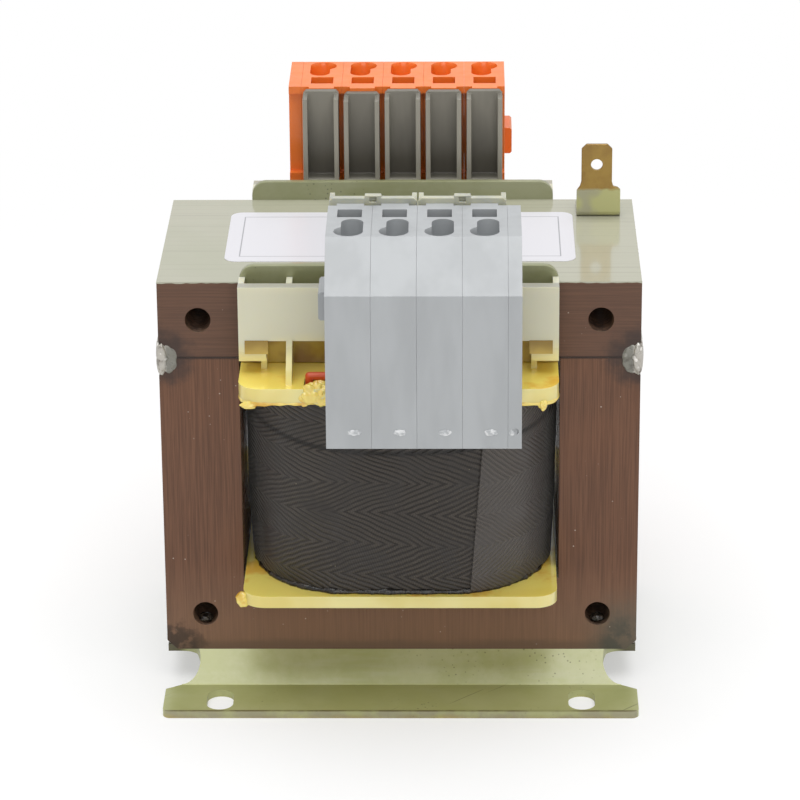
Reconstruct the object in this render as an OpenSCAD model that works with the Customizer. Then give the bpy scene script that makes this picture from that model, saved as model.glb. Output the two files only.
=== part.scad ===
// Laminated chassis transformer on an EI core, with a spring-clamp terminal block on each side.
// The origin is under the middle of the base plate, on the surface that the feet stand on.
// +Z is up and -Y is the front, where the four-pole block sits.

/* [Core] */
// Width across the two outer legs
core_w = 96; // [84:1:110]
// Depth of the stack of laminations
stack_d = 50.4; // [40:0.2:65]
// Width of the centre leg
centre_leg_w = 32; // [28:1:36]
// Width of each winding window
window_w = 16; // [14:0.5:18]
// Height of each winding window
window_h = 48; // [44:1:60]
// Height of the yoke under the windows
yoke_h = 16; // [13:1:22]
// Height of the bar stack that closes the windows
bar_h = 16; // [13:1:22]
// Diameter of the four through holes
core_hole_d = 5.1; // [4:0.1:6]
// Distance of each through hole from the two nearest edges
core_hole_inset = 8; // [7:0.5:10]
// Height of the weld groove along each side of the seam
groove_h = 7.5; // [5:0.5:9]
// Depth of that groove
groove_d = 3; // [1.5:0.5:4]
// How far the weld bead stands out of its groove
bead_out = 0.6; // [0.3:0.1:1]
// Chamfer on the two lower corners of the core
corner_cut = 2; // [1.5:0.5:3]
// Length of each weld between core and base plate
base_weld_l = 11; // [6:1:16]

/* [Base plate] */
// Thickness of the folded sheet
base_t = 1.5; // [1:0.1:2]
// Height of the core above the mounting surface
base_rise = 7; // [6:0.5:9]
// How far each foot reaches past the stack
foot_reach = 17.8; // [16:0.2:22]
// Width of the mounting slots
slot_w = 5.4; // [4.4:0.2:6.4]
// Length of the mounting slots, end to end
slot_l = 9; // [8:0.2:9.6]
// Distance of the slots' middle from the stack
slot_out = 12.4; // [12.2:0.1:13]
// Distance of the slots' middle from the end of the plate
slot_inset = 11.4; // [9:0.2:16]
// Radius of the relief notches at the folds
notch_r = 3.8; // [3:0.2:4.4]
// Corner radius of the feet
foot_corner_r = 1.5; // [0.5:0.5:3]

/* [Bobbin] */
// Gap between the bobbin's tube and the centre leg
tube_gap = 0.3; // [0.2:0.1:0.5]
// Wall of the bobbin's tube
tube_wall = 1.5; // [1:0.1:2]
// Gap between the flanges and the outer legs
flange_side_gap = 0.5; // [0.3:0.1:1.2]
// Gap between the upper flange and the bar stack
flange_top_gap = 0.5; // [0.3:0.1:0.8]
// Thickness of the lower flange
low_flange_t = 2.5; // [2:0.1:3]
// How far the lower flange reaches past the stack
low_flange_out = 14.8; // [14:0.1:15.4]
// Thickness of the upper flange
top_flange_t = 3.2; // [2.4:0.1:4]
// How far the upper flange reaches past the stack
top_flange_out = 15.8; // [15:0.1:16.6]
// Corner radius of both flanges
flange_r = 4.5; // [3:0.5:7]
// Height of the lead windows between upper flange and carrier wall
lead_window_h = 7; // [6.4:0.1:8]
// Height of the carrier wall
carrier_h = 11.2; // [10:0.1:13]
// Thickness of the carrier wall
carrier_wall_t = 2.4; // [1.6:0.1:2.6]
// Thickness of the carrier's ribs
rib_t = 1.2; // [0.8:0.1:1.4]
// Depth of the ribs between shield plate and carrier wall
rib_depth = 3.8; // [3.4:0.1:4.6]
// How far the two gussets run out over the flange past the carrier wall
gusset_out = 6; // [4:0.5:6.6]
// How far the bracket at each end of the carrier wall reaches down
bracket_h = 4.2; // [3:0.1:5]
// Length of that bracket
bracket_l = 5.4; // [4:0.2:7]
// Thickness of the bracket's leg and bar
bracket_t = 1.5; // [1:0.1:1.8]

/* [Windings] */
// Distance of the coil's side from the flange edge
coil_side_margin = 1; // [0.8:0.1:3]
// Distance of the coil's front from the lower flange edge
coil_front_margin = 1.3; // [1:0.1:4]
// Corner radius of the finished coil
coil_r = 20; // [12:0.5:22]
// Thickness of the outer fabric tape
tape_t = 1; // [0.6:0.1:1.4]
// Thickness of the tape's overlapping end
tape_lap_t = 0.4; // [0.2:0.1:0.6]
// Where the tape's end starts, from the middle of the front
tape_lap_x = 14.5; // [8:0.5:16]
// Thickness of the secondary winding
secondary_t = 4.4; // [3:0.1:5]
// Thickness of the foil between the windings
foil_t = 0.6; // [0.3:0.1:1]
// Gap between neighbouring layers of the coil
layer_gap = 0.1; // [0.05:0.05:0.2]
// Diameter of a sleeved lead
lead_d = 1.6; // [1:0.1:2]

/* [Shield plates] */
// Thickness of each plate
shield_t = 1.5; // [1:0.1:2]
// How far each plate stands above the core
shield_up = 4; // [2:0.5:6]
// Radius of the upper corners
shield_r = 3; // [1:0.5:5]

/* [Terminal poles] */
// Distance between neighbouring poles
pole_pitch = 8.6; // [8.4:0.05:8.8]
// How far the front block sits to the left of the carrier's bays
front_shift = 0.35; // [0:0.05:1]
// Seam between neighbouring poles
pole_seam = 0.1; // [0.05:0.05:0.2]
// Reach of a pole from the carrier wall to its front face
pole_reach = 34; // [33:0.5:38]
// Height of a pole above the carrier wall
pole_up = 18.9; // [18:0.1:22]
// Full height of a pole
pole_h = 39; // [38:0.5:42]
// Length of the sloping face, measured level
pole_slope_run = 10.1; // [9.4:0.1:11]
// Fall of the sloping face
pole_slope_fall = 8.3; // [6:0.1:9]
// Side wall of a pole, and the wall round its chamber
pole_wall = 1.4; // [1.2:0.1:1.6]
// Thickness of the top of a pole, over its chamber
pole_roof = 7.5; // [6.5:0.1:8]
// Width of the screwdriver slot
driver_w = 4.7; // [4.2:0.1:5.2]
// Length of the screwdriver slot
driver_l = 4.6; // [4:0.1:4.8]
// Radius of the mouth of the wire funnel
funnel_r = 2.8; // [2.4:0.1:2.8]
// Width of the shallow run from the mouth towards the screwdriver slot
run_w = 4.2; // [3.4:0.1:4.4]
// Depth of that run
run_depth = 4; // [2:0.2:5]
// Depth of the cone of the wire funnel
cone_depth = 6.5; // [4:0.1:6.5]
// Radius of the wire hole at the bottom of the cone
wire_r = 1.7; // [1.2:0.1:2]
// How far the snap peg stands out of a pole's side
peg_out = 1.6; // [1:0.1:2]
// Thickness of the end plates
end_plate_t = 2.6; // [2:0.1:3.4]

/* [Lead channels] */
// Gap between neighbouring rear channels
channel_gap = 1.1; // [0.6:0.1:1.4]
// Gap between the two front holders
holder_gap = 0.3; // [0.2:0.1:1]
// Side walls of the channel pieces
channel_wall = 1; // [0.8:0.1:1.4]
// Back wall of the channel pieces
channel_back_t = 1.5; // [1:0.1:1.8]
// Depth of the side walls in front of the back wall
channel_reach = 3.8; // [2:0.1:4.4]
// How far the front holders stand above the poles
holder_up = 1.05; // [0.5:0.05:2.5]
// How far the slotted posts of the front holders stand above the holders
post_up = 0.5; // [0.2:0.1:1]
// Width of those posts
post_w = 3.2; // [2.6:0.1:4]

/* [Contacts] */
// Width of the contact bars and springs
contact_w = 4; // [3:0.1:4.4]
// Thickness of the contact bars
contact_t = 1; // [0.6:0.1:1.2]
// Thickness of the spring strip
spring_t = 0.5; // [0.3:0.1:0.6]

/* [Earth tab] */
// Width of the push-on tab
tab_w = 6.3; // [4.8:0.1:7]
// Thickness of its sheet
tab_t = 0.8; // [0.6:0.1:1]
// Height of the push-on tab above its shoulders
tab_h = 9.3; // [7:0.1:11]
// Diameter of the hole in the tab
tab_hole_d = 2.4; // [1.6:0.1:2.6]
// Width of the lug under the tab
lug_w = 9; // [8:0.1:10]
// Height of the lug
lug_h = 6.4; // [4:0.1:8]
// Length of the lug's foot
lug_foot = 8; // [6:0.5:10]
// Distance of the lug's face from the back of the stack
lug_inset = 11.2; // [9.2:0.2:17]
// Distance of the tab's middle from the side of the core
tab_inset = 7.8; // [6:0.1:8.5]

/* [Label] */
// Width of the blank label
label_w = 70.6; // [40:0.2:71]
// Depth of the blank label
label_d = 30.2; // [20:0.2:34]
// Thickness of the label
label_t = 0.15; // [0.1:0.05:0.3]
// Corner radius of the label
label_r = 2.5; // [1:0.5:5]
// Distance of the label's middle behind the middle of the core
label_y = 1.7; // [-3:0.1:3]

/* [Hidden] */
$fn = 64;

// Overlap that makes a cut or a joint within one piece clean
lap = 0.5;

// Levels of the core
half_w = core_w / 2;
half_d = stack_d / 2;
window_z = base_rise + yoke_h;
seam_z = window_z + window_h;
core_top = seam_z + bar_h;
leg_x = centre_leg_w / 2;
window_x = leg_x + window_w;

// Levels and half sizes of the bobbin
flange_top = seam_z - flange_top_gap;
coil_top = flange_top - top_flange_t;
coil_base = window_z + low_flange_t;
flange_x = window_x - flange_side_gap;
low_flange_u = half_d + low_flange_out;
top_flange_u = half_d + top_flange_out;
tube_x = leg_x + tube_gap + tube_wall;
tube_u = half_d + tube_gap + tube_wall;
tube_r = 1;
coil_x = flange_x - coil_side_margin;
coil_u = low_flange_u - coil_front_margin;

// Levels and distances of the carrier, where u is the distance out from the middle plane
rib_clear = 0.1;
shield_u = half_d + shield_t;
wall_back_u = shield_u + rib_clear + rib_depth;
wall_u = wall_back_u + carrier_wall_t;
wall_base = flange_top + lead_window_h;
wall_top = wall_base + carrier_h;
bay_count = 7;

// Outline of a pole
pole_w = pole_pitch - pole_seam;
pole_top = wall_top + pole_up;
pole_base = pole_top - pole_h;
pole_front_u = wall_u + pole_reach;
pole_back_u = wall_u + 5;
ledge_u = wall_u + 4.6;
ledge_side_u = ledge_u + 1.2;
ledge_t = 1.6;
ledge_side_w = 1.6;
recess_u = wall_u + 6.9;
flange_clear = 0.8;
foot_u = top_flange_u + flange_clear;
slope_top_u = pole_front_u - pole_slope_run;
slope_base = pole_top - pole_slope_fall;
pole_outline = [
    [foot_u, pole_base],
    [pole_front_u, pole_base],
    [pole_front_u, slope_base],
    [slope_top_u, pole_top],
    [ledge_u, pole_top],
    [ledge_u, pole_top - ledge_t],
    [recess_u, pole_top - ledge_t],
    [recess_u, wall_top],
    [pole_back_u, wall_top],
    [pole_back_u, flange_top + 2.5],
    [foot_u, flange_top + 0.9]
];

// Chamber of a pole: its front corner follows the sloping face
slope_angle = atan2(pole_slope_fall, pole_slope_run);
chamber_top = pole_top - pole_roof;
chamber_floor = pole_base + pole_wall + 0.2;
chamber_front_u = pole_front_u - pole_wall - 0.2;
chamber_back_u = foot_u + pole_wall;
driver_wall = 1.15;
driver_u = recess_u + driver_wall;
driver_shaft_h = 9.1;
chamber_step = chamber_top - driver_shaft_h;
slope_inset = pole_wall / cos(slope_angle);
chamber_corner_u = slope_top_u + (pole_roof - slope_inset) / tan(slope_angle);
chamber_corner_z = pole_top - slope_inset
    - (chamber_front_u - slope_top_u) * tan(slope_angle);
chamber_outline = [
    [chamber_back_u, chamber_floor],
    [chamber_front_u, chamber_floor],
    [chamber_front_u, chamber_corner_z],
    [chamber_corner_u, chamber_top],
    [driver_u, chamber_top],
    [driver_u, chamber_step],
    [chamber_back_u, chamber_step]
];

// Places in a pole, from its closed side
pole_mid = pole_w / 2;
funnel_u = slope_top_u - funnel_r - 0.3;
run_x = pole_mid + 0.65;
run_start_u = driver_u + driver_l + 1.1;
peg_z = wall_top + 1.5;
peg_h = 5.7;
peg_u = wall_u + 13.6;
peg_l = 8.8;
peg_bevel = 0.4;
heel_z = wall_base + 1.5;
heel_h = 7;
heel_w = 5.4;
dimple_r = 0.7;
dimple_z = pole_base + 3.5;

// Contact bar and spring inside a pole
bar_u = chamber_back_u;
bar_top = chamber_step;
tail_z = flange_top + 4.5;
tail_u = wall_u + 2.4;
contact_x = pole_wall + 0.6;
spring_u = bar_u + contact_t;
spring_r = 5;
spring_z = chamber_floor + spring_r + 3;
spring_arm_h = 11;

// First pole of each block, counted from the closed end
front_start = -1.5 * pole_pitch - front_shift;
rear_start = -2.5 * pole_pitch;

// Lead channels: each rear one is pushed down a little differently
channel_seat = 0.1;
channel_back_u = ledge_u - channel_seat;
channel_u = channel_back_u - channel_back_t;
channel_floor_t = 0.6;
channel_drop = [0.1, 0.2, 0.1, 0.6, 0.1];

// Leads
lead_u = wall_u + 3.2;
lead_slot_w = lead_d + 0.4;
lead_level = flange_top + lead_d / 2 + 0.1;
loop_x = front_start - pole_pitch / 2;

// Middle of pole number k in a block that starts at x0
function pole_x(x0, k) = x0 + k * pole_pitch + pole_pitch / 2;

// Adds the mirror image of the right half of an outline
function mirrored(half) = concat(half, [for (i = [len(half) - 1:-1:0]) [-half[i][0], half[i][1]]]);

module rounded_rect(w, d, r) {
    square([w - 2 * r, d], center = true);
    square([w, d - 2 * r], center = true);
    for (sx = [-1, 1], sy = [-1, 1])
        translate([sx * (w / 2 - r), sy * (d / 2 - r)]) circle(r);
}

module stadium(w, l) {
    square([w, l - w], center = true);
    for (s = [-1, 1]) translate([0, s * (l - w) / 2]) circle(w / 2);
}

// Outline of (u, z) points on the front side, drawn out along X
module slab(x0, w, outline) {
    translate([x0, 0, 0]) rotate([90, 0, 90])
        linear_extrude(w) polygon([for (p = outline) [-p[0], p[1]]]);
}

// Outline of (x, z) points drawn out along Y, from y0 forwards
module panel(y0, depth) {
    translate([0, y0, 0]) rotate([90, 0, 0]) linear_extrude(depth) children();
}

// Block on the front side, from x, u and z values
module brick(x, u, z) {
    translate([x[0], -u[1], z[0]]) cube([x[1] - x[0], u[1] - u[0], z[1] - z[0]]);
}

module rear_side() {
    rotate([0, 0, 180]) children();
}

// ---- Core ----

module core_holes(z) {
    for (s = [-1, 1]) translate([s * (half_w - core_hole_inset), half_d + 1, z])
        rotate([90, 0, 0]) cylinder(d = core_hole_d, h = stack_d + 2);
}

module e_stack() {
    color([0.38, 0.29, 0.25]) difference() {
        panel(half_d, stack_d) polygon(mirrored([
            [half_w - corner_cut, base_rise],
            [half_w, base_rise + corner_cut],
            [half_w, seam_z - groove_h / 2],
            [half_w - groove_d, seam_z],
            [window_x, seam_z],
            [window_x, window_z],
            [leg_x, window_z],
            [leg_x, seam_z]
        ]));
        core_holes(base_rise + core_hole_inset);
    }
}

module bar_stack() {
    color([0.35, 0.28, 0.25]) difference() {
        panel(half_d, stack_d) polygon(mirrored([
            [half_w - groove_d, seam_z],
            [half_w, seam_z + groove_h / 2],
            [half_w, core_top]
        ]));
        core_holes(core_top - core_hole_inset);
    }
}

module seam_welds() {
    steps = 10;
    bead = [for (i = [0:steps])
        [half_w + bead_out * sin(180 * i / steps), seam_z + groove_h / 2 * cos(180 * i / steps)]];
    color([0.66, 0.66, 0.64]) for (s = [0, 1]) mirror([s, 0, 0])
        panel(half_d, stack_d) polygon(concat([[half_w - groove_d, seam_z]], bead));
}

// ---- Base plate ----

module base_notches() {
    fold = base_rise - base_t;
    notch_x = half_w - 3;
    notch_u = half_d + 1.6;
    ear_u = half_d + fold + 2;
    for (sx = [0, 1], sy = [0, 1]) mirror([sx, 0, 0]) mirror([0, sy, 0]) {
        translate([notch_x, notch_u, -lap]) cylinder(r = notch_r, h = base_rise + 2 * lap);
        translate([0, 0, -lap]) linear_extrude(base_rise + 2 * lap) polygon([
            [notch_x, notch_u - notch_r],
            [half_w + lap, notch_u - notch_r],
            [half_w + lap, ear_u + lap / 2],
            [notch_x - 0.2, notch_u + notch_r]
        ]);
    }
}

module base_plate() {
    fold = base_rise - base_t;
    shift = base_t * tan(22.5);
    foot_u = half_d + foot_reach;
    half = [
        [foot_u, 0],
        [foot_u, base_t],
        [half_d + fold, base_t],
        [half_d, base_rise]
    ];
    under = [
        [half_d - shift, fold],
        [half_d + fold - shift, 0]
    ];
    section = concat(half, [for (i = [len(half) - 1:-1:0]) [-half[i][0], half[i][1]]],
        [[-under[1][0], under[1][1]], [-under[0][0], under[0][1]], under[0], under[1]]);
    color([0.55, 0.56, 0.38]) difference() {
        intersection() {
            slab(-half_w, core_w, section);
            translate([0, 0, -lap]) linear_extrude(base_rise + 2 * lap)
                rounded_rect(core_w, 2 * foot_u, foot_corner_r);
        }
        base_notches();
        for (sx = [-1, 1], sy = [-1, 1])
            translate([sx * (half_w - slot_inset), sy * (half_d + slot_out), -lap])
                linear_extrude(base_t + 2 * lap) stadium(slot_w, slot_l);
    }
}

module base_welds() {
    bead = [
        [half_w - corner_cut, base_rise],
        [half_w - 0.2, base_rise],
        [half_w + 0.3, base_rise + 0.5 * corner_cut],
        [half_w, base_rise + corner_cut]
    ];
    back = half_d - 2.5;
    color([0.36, 0.37, 0.33]) for (sx = [0, 1], sy = [0, 1]) mirror([sx, 0, 0]) mirror([0, sy, 0])
        panel(back, base_weld_l) polygon(bead);
}

// ---- Bobbin and coil ----

module lead_slots(x0, poles) {
    for (x = poles)
        brick([x - lead_slot_w / 2, x + lead_slot_w / 2], [lead_u - lead_slot_w / 2, top_flange_u + 1],
            [coil_top - lap, flange_top + lap]);
}

// Wall, ribs and gussets that carry the terminal blocks, on the front side
module carrier() {
    rib_back_u = shield_u + rib_clear;
    end_x = flange_x;
    brick([-end_x, end_x], [wall_back_u, wall_u], [wall_base, wall_top]);
    for (s = [-1, 1]) {
        mid = s * (end_x - rib_t / 2);
        brick([mid - rib_t / 2, mid + rib_t / 2], [rib_back_u, wall_back_u + lap],
            [wall_base - bracket_h, wall_top]);
        leg = s * (end_x - bracket_t / 2);
        brick([leg - bracket_t / 2, leg + bracket_t / 2], [rib_back_u, wall_u],
            [wall_base - bracket_h, wall_base + lap]);
        bar = s * (end_x - bracket_l / 2);
        brick([bar - bracket_l / 2, bar + bracket_l / 2], [rib_back_u, wall_u],
            [wall_base - bracket_h, wall_base - bracket_h + bracket_t]);
        post = s * (end_x - bracket_l + rib_t / 2);
        brick([post - rib_t / 2, post + rib_t / 2], [rib_back_u, rib_back_u + 3.2],
            [flange_top - lap, wall_base]);
    }
    for (i = [1:bay_count - 1]) {
        x = (i - bay_count / 2) * pole_pitch;
        brick([x - rib_t / 2, x + rib_t / 2], [rib_back_u, wall_back_u + lap],
            [flange_top - lap, wall_top]);
    }
    for (s = [-1, 1]) slab(s * (bay_count / 2 - 1) * pole_pitch - rib_t / 2, rib_t, [
        [rib_back_u, flange_top - lap],
        [wall_u + gusset_out, flange_top - lap],
        [wall_u + gusset_out, flange_top],
        [wall_u, wall_base + lap],
        [rib_back_u, wall_base + lap]
    ]);
}

module bobbin() {
    color([0.93, 0.89, 0.62]) difference() {
        union() {
            translate([0, 0, window_z]) linear_extrude(low_flange_t)
                rounded_rect(2 * flange_x, 2 * low_flange_u, flange_r);
            translate([0, 0, coil_top]) linear_extrude(top_flange_t)
                rounded_rect(2 * flange_x, 2 * top_flange_u, flange_r);
            translate([0, 0, window_z]) linear_extrude(flange_top - window_z)
                rounded_rect(2 * tube_x, 2 * tube_u, tube_r);
            carrier();
            rear_side() carrier();
        }
        translate([0, 0, (window_z + seam_z) / 2])
            cube([2 * (leg_x + tube_gap), 2 * (half_d + tube_gap), window_h + 2], center = true);
        lead_slots(front_start, concat([loop_x], [for (k = [1:3]) pole_x(front_start, k)]));
        rear_side() lead_slots(rear_start, [for (k = [0:4]) pole_x(rear_start, k)]);
    }
}

// One layer of the coil, from its distance inside the finished coil and its thickness
module coil_layer(inset, t) {
    translate([0, 0, coil_base]) linear_extrude(coil_top - coil_base - layer_gap) difference() {
        rounded_rect(2 * (coil_x - inset), 2 * (coil_u - inset), coil_r - inset);
        rounded_rect(2 * (coil_x - inset - t), 2 * (coil_u - inset - t), coil_r - inset - t);
    }
}

module tape_wrap() {
    color([0.16, 0.14, 0.13]) {
        coil_layer(0, tape_t);
        translate([0, 0, coil_base]) linear_extrude(coil_top - coil_base - layer_gap)
            difference() {
                translate([0, 0]) rounded_rect(2 * (coil_x + tape_lap_t), 2 * (coil_u + tape_lap_t),
                    coil_r + tape_lap_t);
                rounded_rect(2 * (coil_x - lap / 5), 2 * (coil_u - lap / 5), coil_r - lap / 5);
                translate([-coil_x - 5, -coil_u - 5])
                    square([coil_x + 5 + tape_lap_x, 2 * coil_u + 10]);
                translate([-coil_x - 5, -coil_u + coil_r]) square([2 * coil_x + 10, 2 * coil_u]);
            }
    }
}

module secondary_winding() {
    color([0.72, 0.4, 0.2]) coil_layer(tape_t + layer_gap, secondary_t);
}

module winding_foil() {
    color([0.85, 0.7, 0.3]) coil_layer(tape_t + secondary_t + 2 * layer_gap, foil_t);
}

module primary_winding() {
    inset = tape_t + secondary_t + foil_t + 3 * layer_gap;
    color([0.72, 0.38, 0.18]) translate([0, 0, coil_base])
        linear_extrude(coil_top - coil_base - layer_gap) difference() {
            rounded_rect(2 * (coil_x - inset), 2 * (coil_u - inset), coil_r - inset);
            rounded_rect(2 * (tube_x + layer_gap), 2 * (tube_u + layer_gap), tube_r + layer_gap);
        }
}

// ---- Shield plates, earth tab and label ----

module shield_plate() {
    plate_top = core_top + shield_up;
    color([0.5, 0.5, 0.36]) panel(-half_d, shield_t) {
        translate([-flange_x, flange_top])
            square([2 * flange_x, plate_top - shield_r - flange_top]);
        translate([-flange_x + shield_r, flange_top])
            square([2 * (flange_x - shield_r), plate_top - flange_top]);
        for (s = [-1, 1]) translate([s * (flange_x - shield_r), plate_top - shield_r])
            circle(shield_r);
    }
}

module front_shield_plate() {
    shield_plate();
}

module rear_shield_plate() {
    rear_side() shield_plate();
}

module earth_tab() {
    tab_x = half_w - tab_inset;
    lug_y = half_d - lug_inset;
    lug_x = tab_x + 0.4;
    shoulder = core_top + lug_h;
    tab_top = shoulder + tab_h;
    tip_cut = 1;
    bend_r = 1.2;
    color([0.71, 0.56, 0.25]) difference() {
        intersection() {
            translate([lug_x - lug_w / 2, 0, 0]) rotate([90, 0, 90]) linear_extrude(lug_w) {
                translate([lug_y, core_top + bend_r]) square([tab_t, tab_top - core_top]);
                translate([lug_y + bend_r, core_top]) square([lug_foot - bend_r, tab_t]);
                translate([lug_y + bend_r, core_top + bend_r]) difference() {
                    circle(bend_r);
                    circle(bend_r - tab_t);
                    translate([-lap - bend_r, 0]) square([2 * bend_r + 2 * lap, bend_r + lap]);
                    translate([0, -lap - bend_r]) square([bend_r + lap, 2 * bend_r + 2 * lap]);
                }
            }
            panel(lug_y + lug_foot + lap, lug_foot + 2 * lap) polygon([
                [lug_x - lug_w / 2, core_top - lap],
                [lug_x + lug_w / 2, core_top - lap],
                [lug_x + lug_w / 2, shoulder - 0.5],
                [lug_x + lug_w / 2 - 0.6, shoulder],
                [tab_x + tab_w / 2 + 0.3, shoulder + 0.2],
                [tab_x + tab_w / 2, shoulder + 1.2],
                [tab_x + tab_w / 2, tab_top - tip_cut],
                [tab_x + tab_w / 2 - tip_cut, tab_top],
                [tab_x - tab_w / 2 + tip_cut, tab_top],
                [tab_x - tab_w / 2, tab_top - tip_cut],
                [tab_x - tab_w / 2, shoulder + 1.2],
                [tab_x - tab_w / 2 - 0.3, shoulder + 0.2],
                [lug_x - lug_w / 2, shoulder - 0.7]
            ]);
        }
        translate([tab_x, lug_y + tab_t + lap, tab_top - 4.4])
            rotate([90, 0, 0]) cylinder(d = tab_hole_d, h = tab_t + 2 * lap);
    }
}

module label() {
    color([0.93, 0.93, 0.92]) translate([0, label_y, core_top])
        linear_extrude(label_t) rounded_rect(label_w, label_d, label_r);
}

// ---- Terminal blocks ----

module snap_peg() {
    panel(-peg_u, peg_l) polygon([
        [lap, peg_z],
        [-peg_out + peg_bevel, peg_z],
        [-peg_out, peg_z + peg_bevel],
        [-peg_out, peg_z + peg_h - peg_bevel],
        [-peg_out + peg_bevel, peg_z + peg_h],
        [lap, peg_z + peg_h]
    ]);
}

// Wire entry of a pole: a cone down to the wire hole, and a shallow run behind it
module wire_funnel() {
    widen = (funnel_r - wire_r) / cone_depth;
    translate([pole_mid, -funnel_u, pole_top - cone_depth])
        cylinder(r1 = wire_r, r2 = funnel_r + widen * lap, h = cone_depth + lap);
    translate([pole_mid, -funnel_u, chamber_top - lap]) cylinder(r = wire_r, h = pole_roof);
    run_l = funnel_u - run_start_u + run_w / 2;
    translate([run_x, -(run_start_u + run_l / 2), pole_top - run_depth])
        linear_extrude(run_depth + lap) stadium(run_w, run_l);
}

// Pole housing, closed on its left side and open on its right, where the next piece closes it
module pole(x0, k) {
    translate([x0 + k * pole_pitch, 0, 0]) difference() {
        union() {
            slab(0, pole_w, pole_outline);
            snap_peg();
            brick([pole_mid - heel_w / 2, pole_mid + heel_w / 2], [wall_u, pole_back_u + lap],
                [heel_z, heel_z + heel_h]);
        }
        slab(pole_wall, pole_w, chamber_outline);
        wire_funnel();
        brick([pole_mid - driver_w / 2, pole_mid + driver_w / 2], [driver_u, driver_u + driver_l],
            [chamber_top - lap, pole_top + lap]);
        brick([contact_x - 0.1, contact_x + contact_w + 0.1], [pole_back_u - lap, chamber_back_u + lap],
            [tail_z - 0.1, tail_z + contact_t + 0.1]);
        for (x = [[-lap, ledge_side_w], [pole_w - ledge_side_w, pole_w + lap]])
            brick(x, [ledge_u - lap, ledge_side_u], [pole_top - ledge_t - lap, pole_top + lap]);
        translate([pole_mid, -pole_front_u + 0.5, dimple_z]) rotate([90, 0, 0])
            cylinder(r = dimple_r, h = 1);
    }
}

module end_plate(x0, k) {
    translate([x0 + k * pole_pitch, 0, 0]) difference() {
        union() {
            slab(0, end_plate_t, pole_outline);
            snap_peg();
        }
        brick([-lap, end_plate_t + lap], [ledge_u - lap, ledge_side_u],
            [pole_top - ledge_t - lap, pole_top + lap]);
        translate([end_plate_t / 2, -pole_front_u + 0.5, dimple_z]) rotate([90, 0, 0])
            cylinder(r = dimple_r, h = 1);
    }
}

module front_pole(k) {
    color([0.76, 0.77, 0.78]) pole(front_start, k);
}

module front_end_plate() {
    color([0.76, 0.77, 0.78]) end_plate(front_start, 4);
}

module rear_pole(k) {
    color([0.94, 0.42, 0.14]) rear_side() pole(rear_start, k);
}

module rear_end_plate() {
    color([0.94, 0.42, 0.14]) rear_side() end_plate(rear_start, 5);
}

// Channel piece behind a number of poles: it stands on the carrier wall and opens towards the core
module channel(x0, bays, gap, top) {
    w = bays * pole_pitch - gap;
    deep_u = recess_u - channel_seat;
    open_u = channel_u - channel_reach;
    under_ledge = pole_top - ledge_t - channel_seat;
    corner = 0.6;
    translate([x0 + gap / 2, 0, 0]) {
        brick([0, w], [open_u, deep_u], [wall_top, wall_top + channel_floor_t]);
        for (x = [0, w - channel_wall])
            brick([x, x + channel_wall], [open_u, channel_back_u], [wall_top, top - corner]);
        for (k = [0:bays - 1]) {
            x = (k + 0.5) * pole_pitch - gap / 2;
            brick([x - channel_wall / 2, x + channel_wall / 2], [channel_u, deep_u],
                [wall_top, under_ledge]);
        }
        panel(-channel_u, channel_back_t) polygon([
            [0, wall_top],
            [w, wall_top],
            [w, top - corner],
            [w - corner, top],
            [corner, top],
            [0, top - corner]
        ]);
    }
}

// Holder behind two front poles, with a slotted post in its middle
module front_holder(i) {
    x0 = front_start + 2 * i * pole_pitch;
    top = pole_top + holder_up;
    mid = x0 + pole_pitch;
    slot_half = post_w / 2 - 0.95;
    color([0.88, 0.87, 0.74]) difference() {
        union() {
            channel(x0, 2, holder_gap, top);
            brick([mid - post_w / 2, mid + post_w / 2], [channel_u, channel_back_u],
                [pole_top - 1, top + post_up]);
        }
        brick([mid - slot_half, mid + slot_half], [channel_u + 0.5, channel_back_u + lap],
            [pole_top + 0.2, top + post_up - 0.4]);
    }
}

module rear_channel(k) {
    color([0.58, 0.58, 0.55]) rear_side()
        channel(rear_start + k * pole_pitch, 1, channel_gap, pole_top - channel_drop[k]);
}

// ---- Contacts and leads ----

module contact_bar(x) {
    translate([x, 0, 0]) {
        brick([0, contact_w], [bar_u, bar_u + contact_t], [chamber_floor, bar_top - 0.1]);
        brick([0, contact_w], [tail_u, bar_u + lap], [tail_z, tail_z + contact_t]);
    }
}

// Spring strip: one leg on the contact bar, a half turn, and an arm that rises to the wire
module clamp_spring(x) {
    mid_u = spring_u + spring_r;
    translate([x, 0, 0]) {
        brick([0, contact_w], [spring_u, spring_u + spring_t], [spring_z, bar_top - 1]);
        translate([0, -mid_u, spring_z]) rotate([90, 0, 90]) linear_extrude(contact_w)
            difference() {
                circle(spring_r);
                circle(spring_r - spring_t);
                translate([-spring_r - 1, 0]) square([2 * spring_r + 2, spring_r + 1]);
            }
        slab(0, contact_w, [
            [mid_u + spring_r - spring_t, spring_z - 0.01],
            [mid_u + spring_r, spring_z - 0.01],
            [mid_u + spring_r - 2, spring_z + spring_arm_h],
            [spring_u + 3, spring_z + spring_arm_h + 2],
            [spring_u + 3, spring_z + spring_arm_h + 2 - spring_t],
            [mid_u + spring_r - 2 - spring_t, spring_z + spring_arm_h - spring_t]
        ]);
    }
}

module contact_bars(x0, count) {
    for (k = [0:count - 1]) contact_bar(x0 + k * pole_pitch + contact_x);
}

module clamp_springs(x0, count) {
    for (k = [0:count - 1]) clamp_spring(x0 + k * pole_pitch + contact_x);
}

module front_contact_bars() {
    color([0.8, 0.78, 0.7]) contact_bars(front_start, 4);
}

module rear_contact_bars() {
    color([0.8, 0.78, 0.7]) rear_side() contact_bars(rear_start, 5);
}

module front_clamp_springs() {
    color([0.7, 0.7, 0.7]) clamp_springs(front_start, 4);
}

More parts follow.
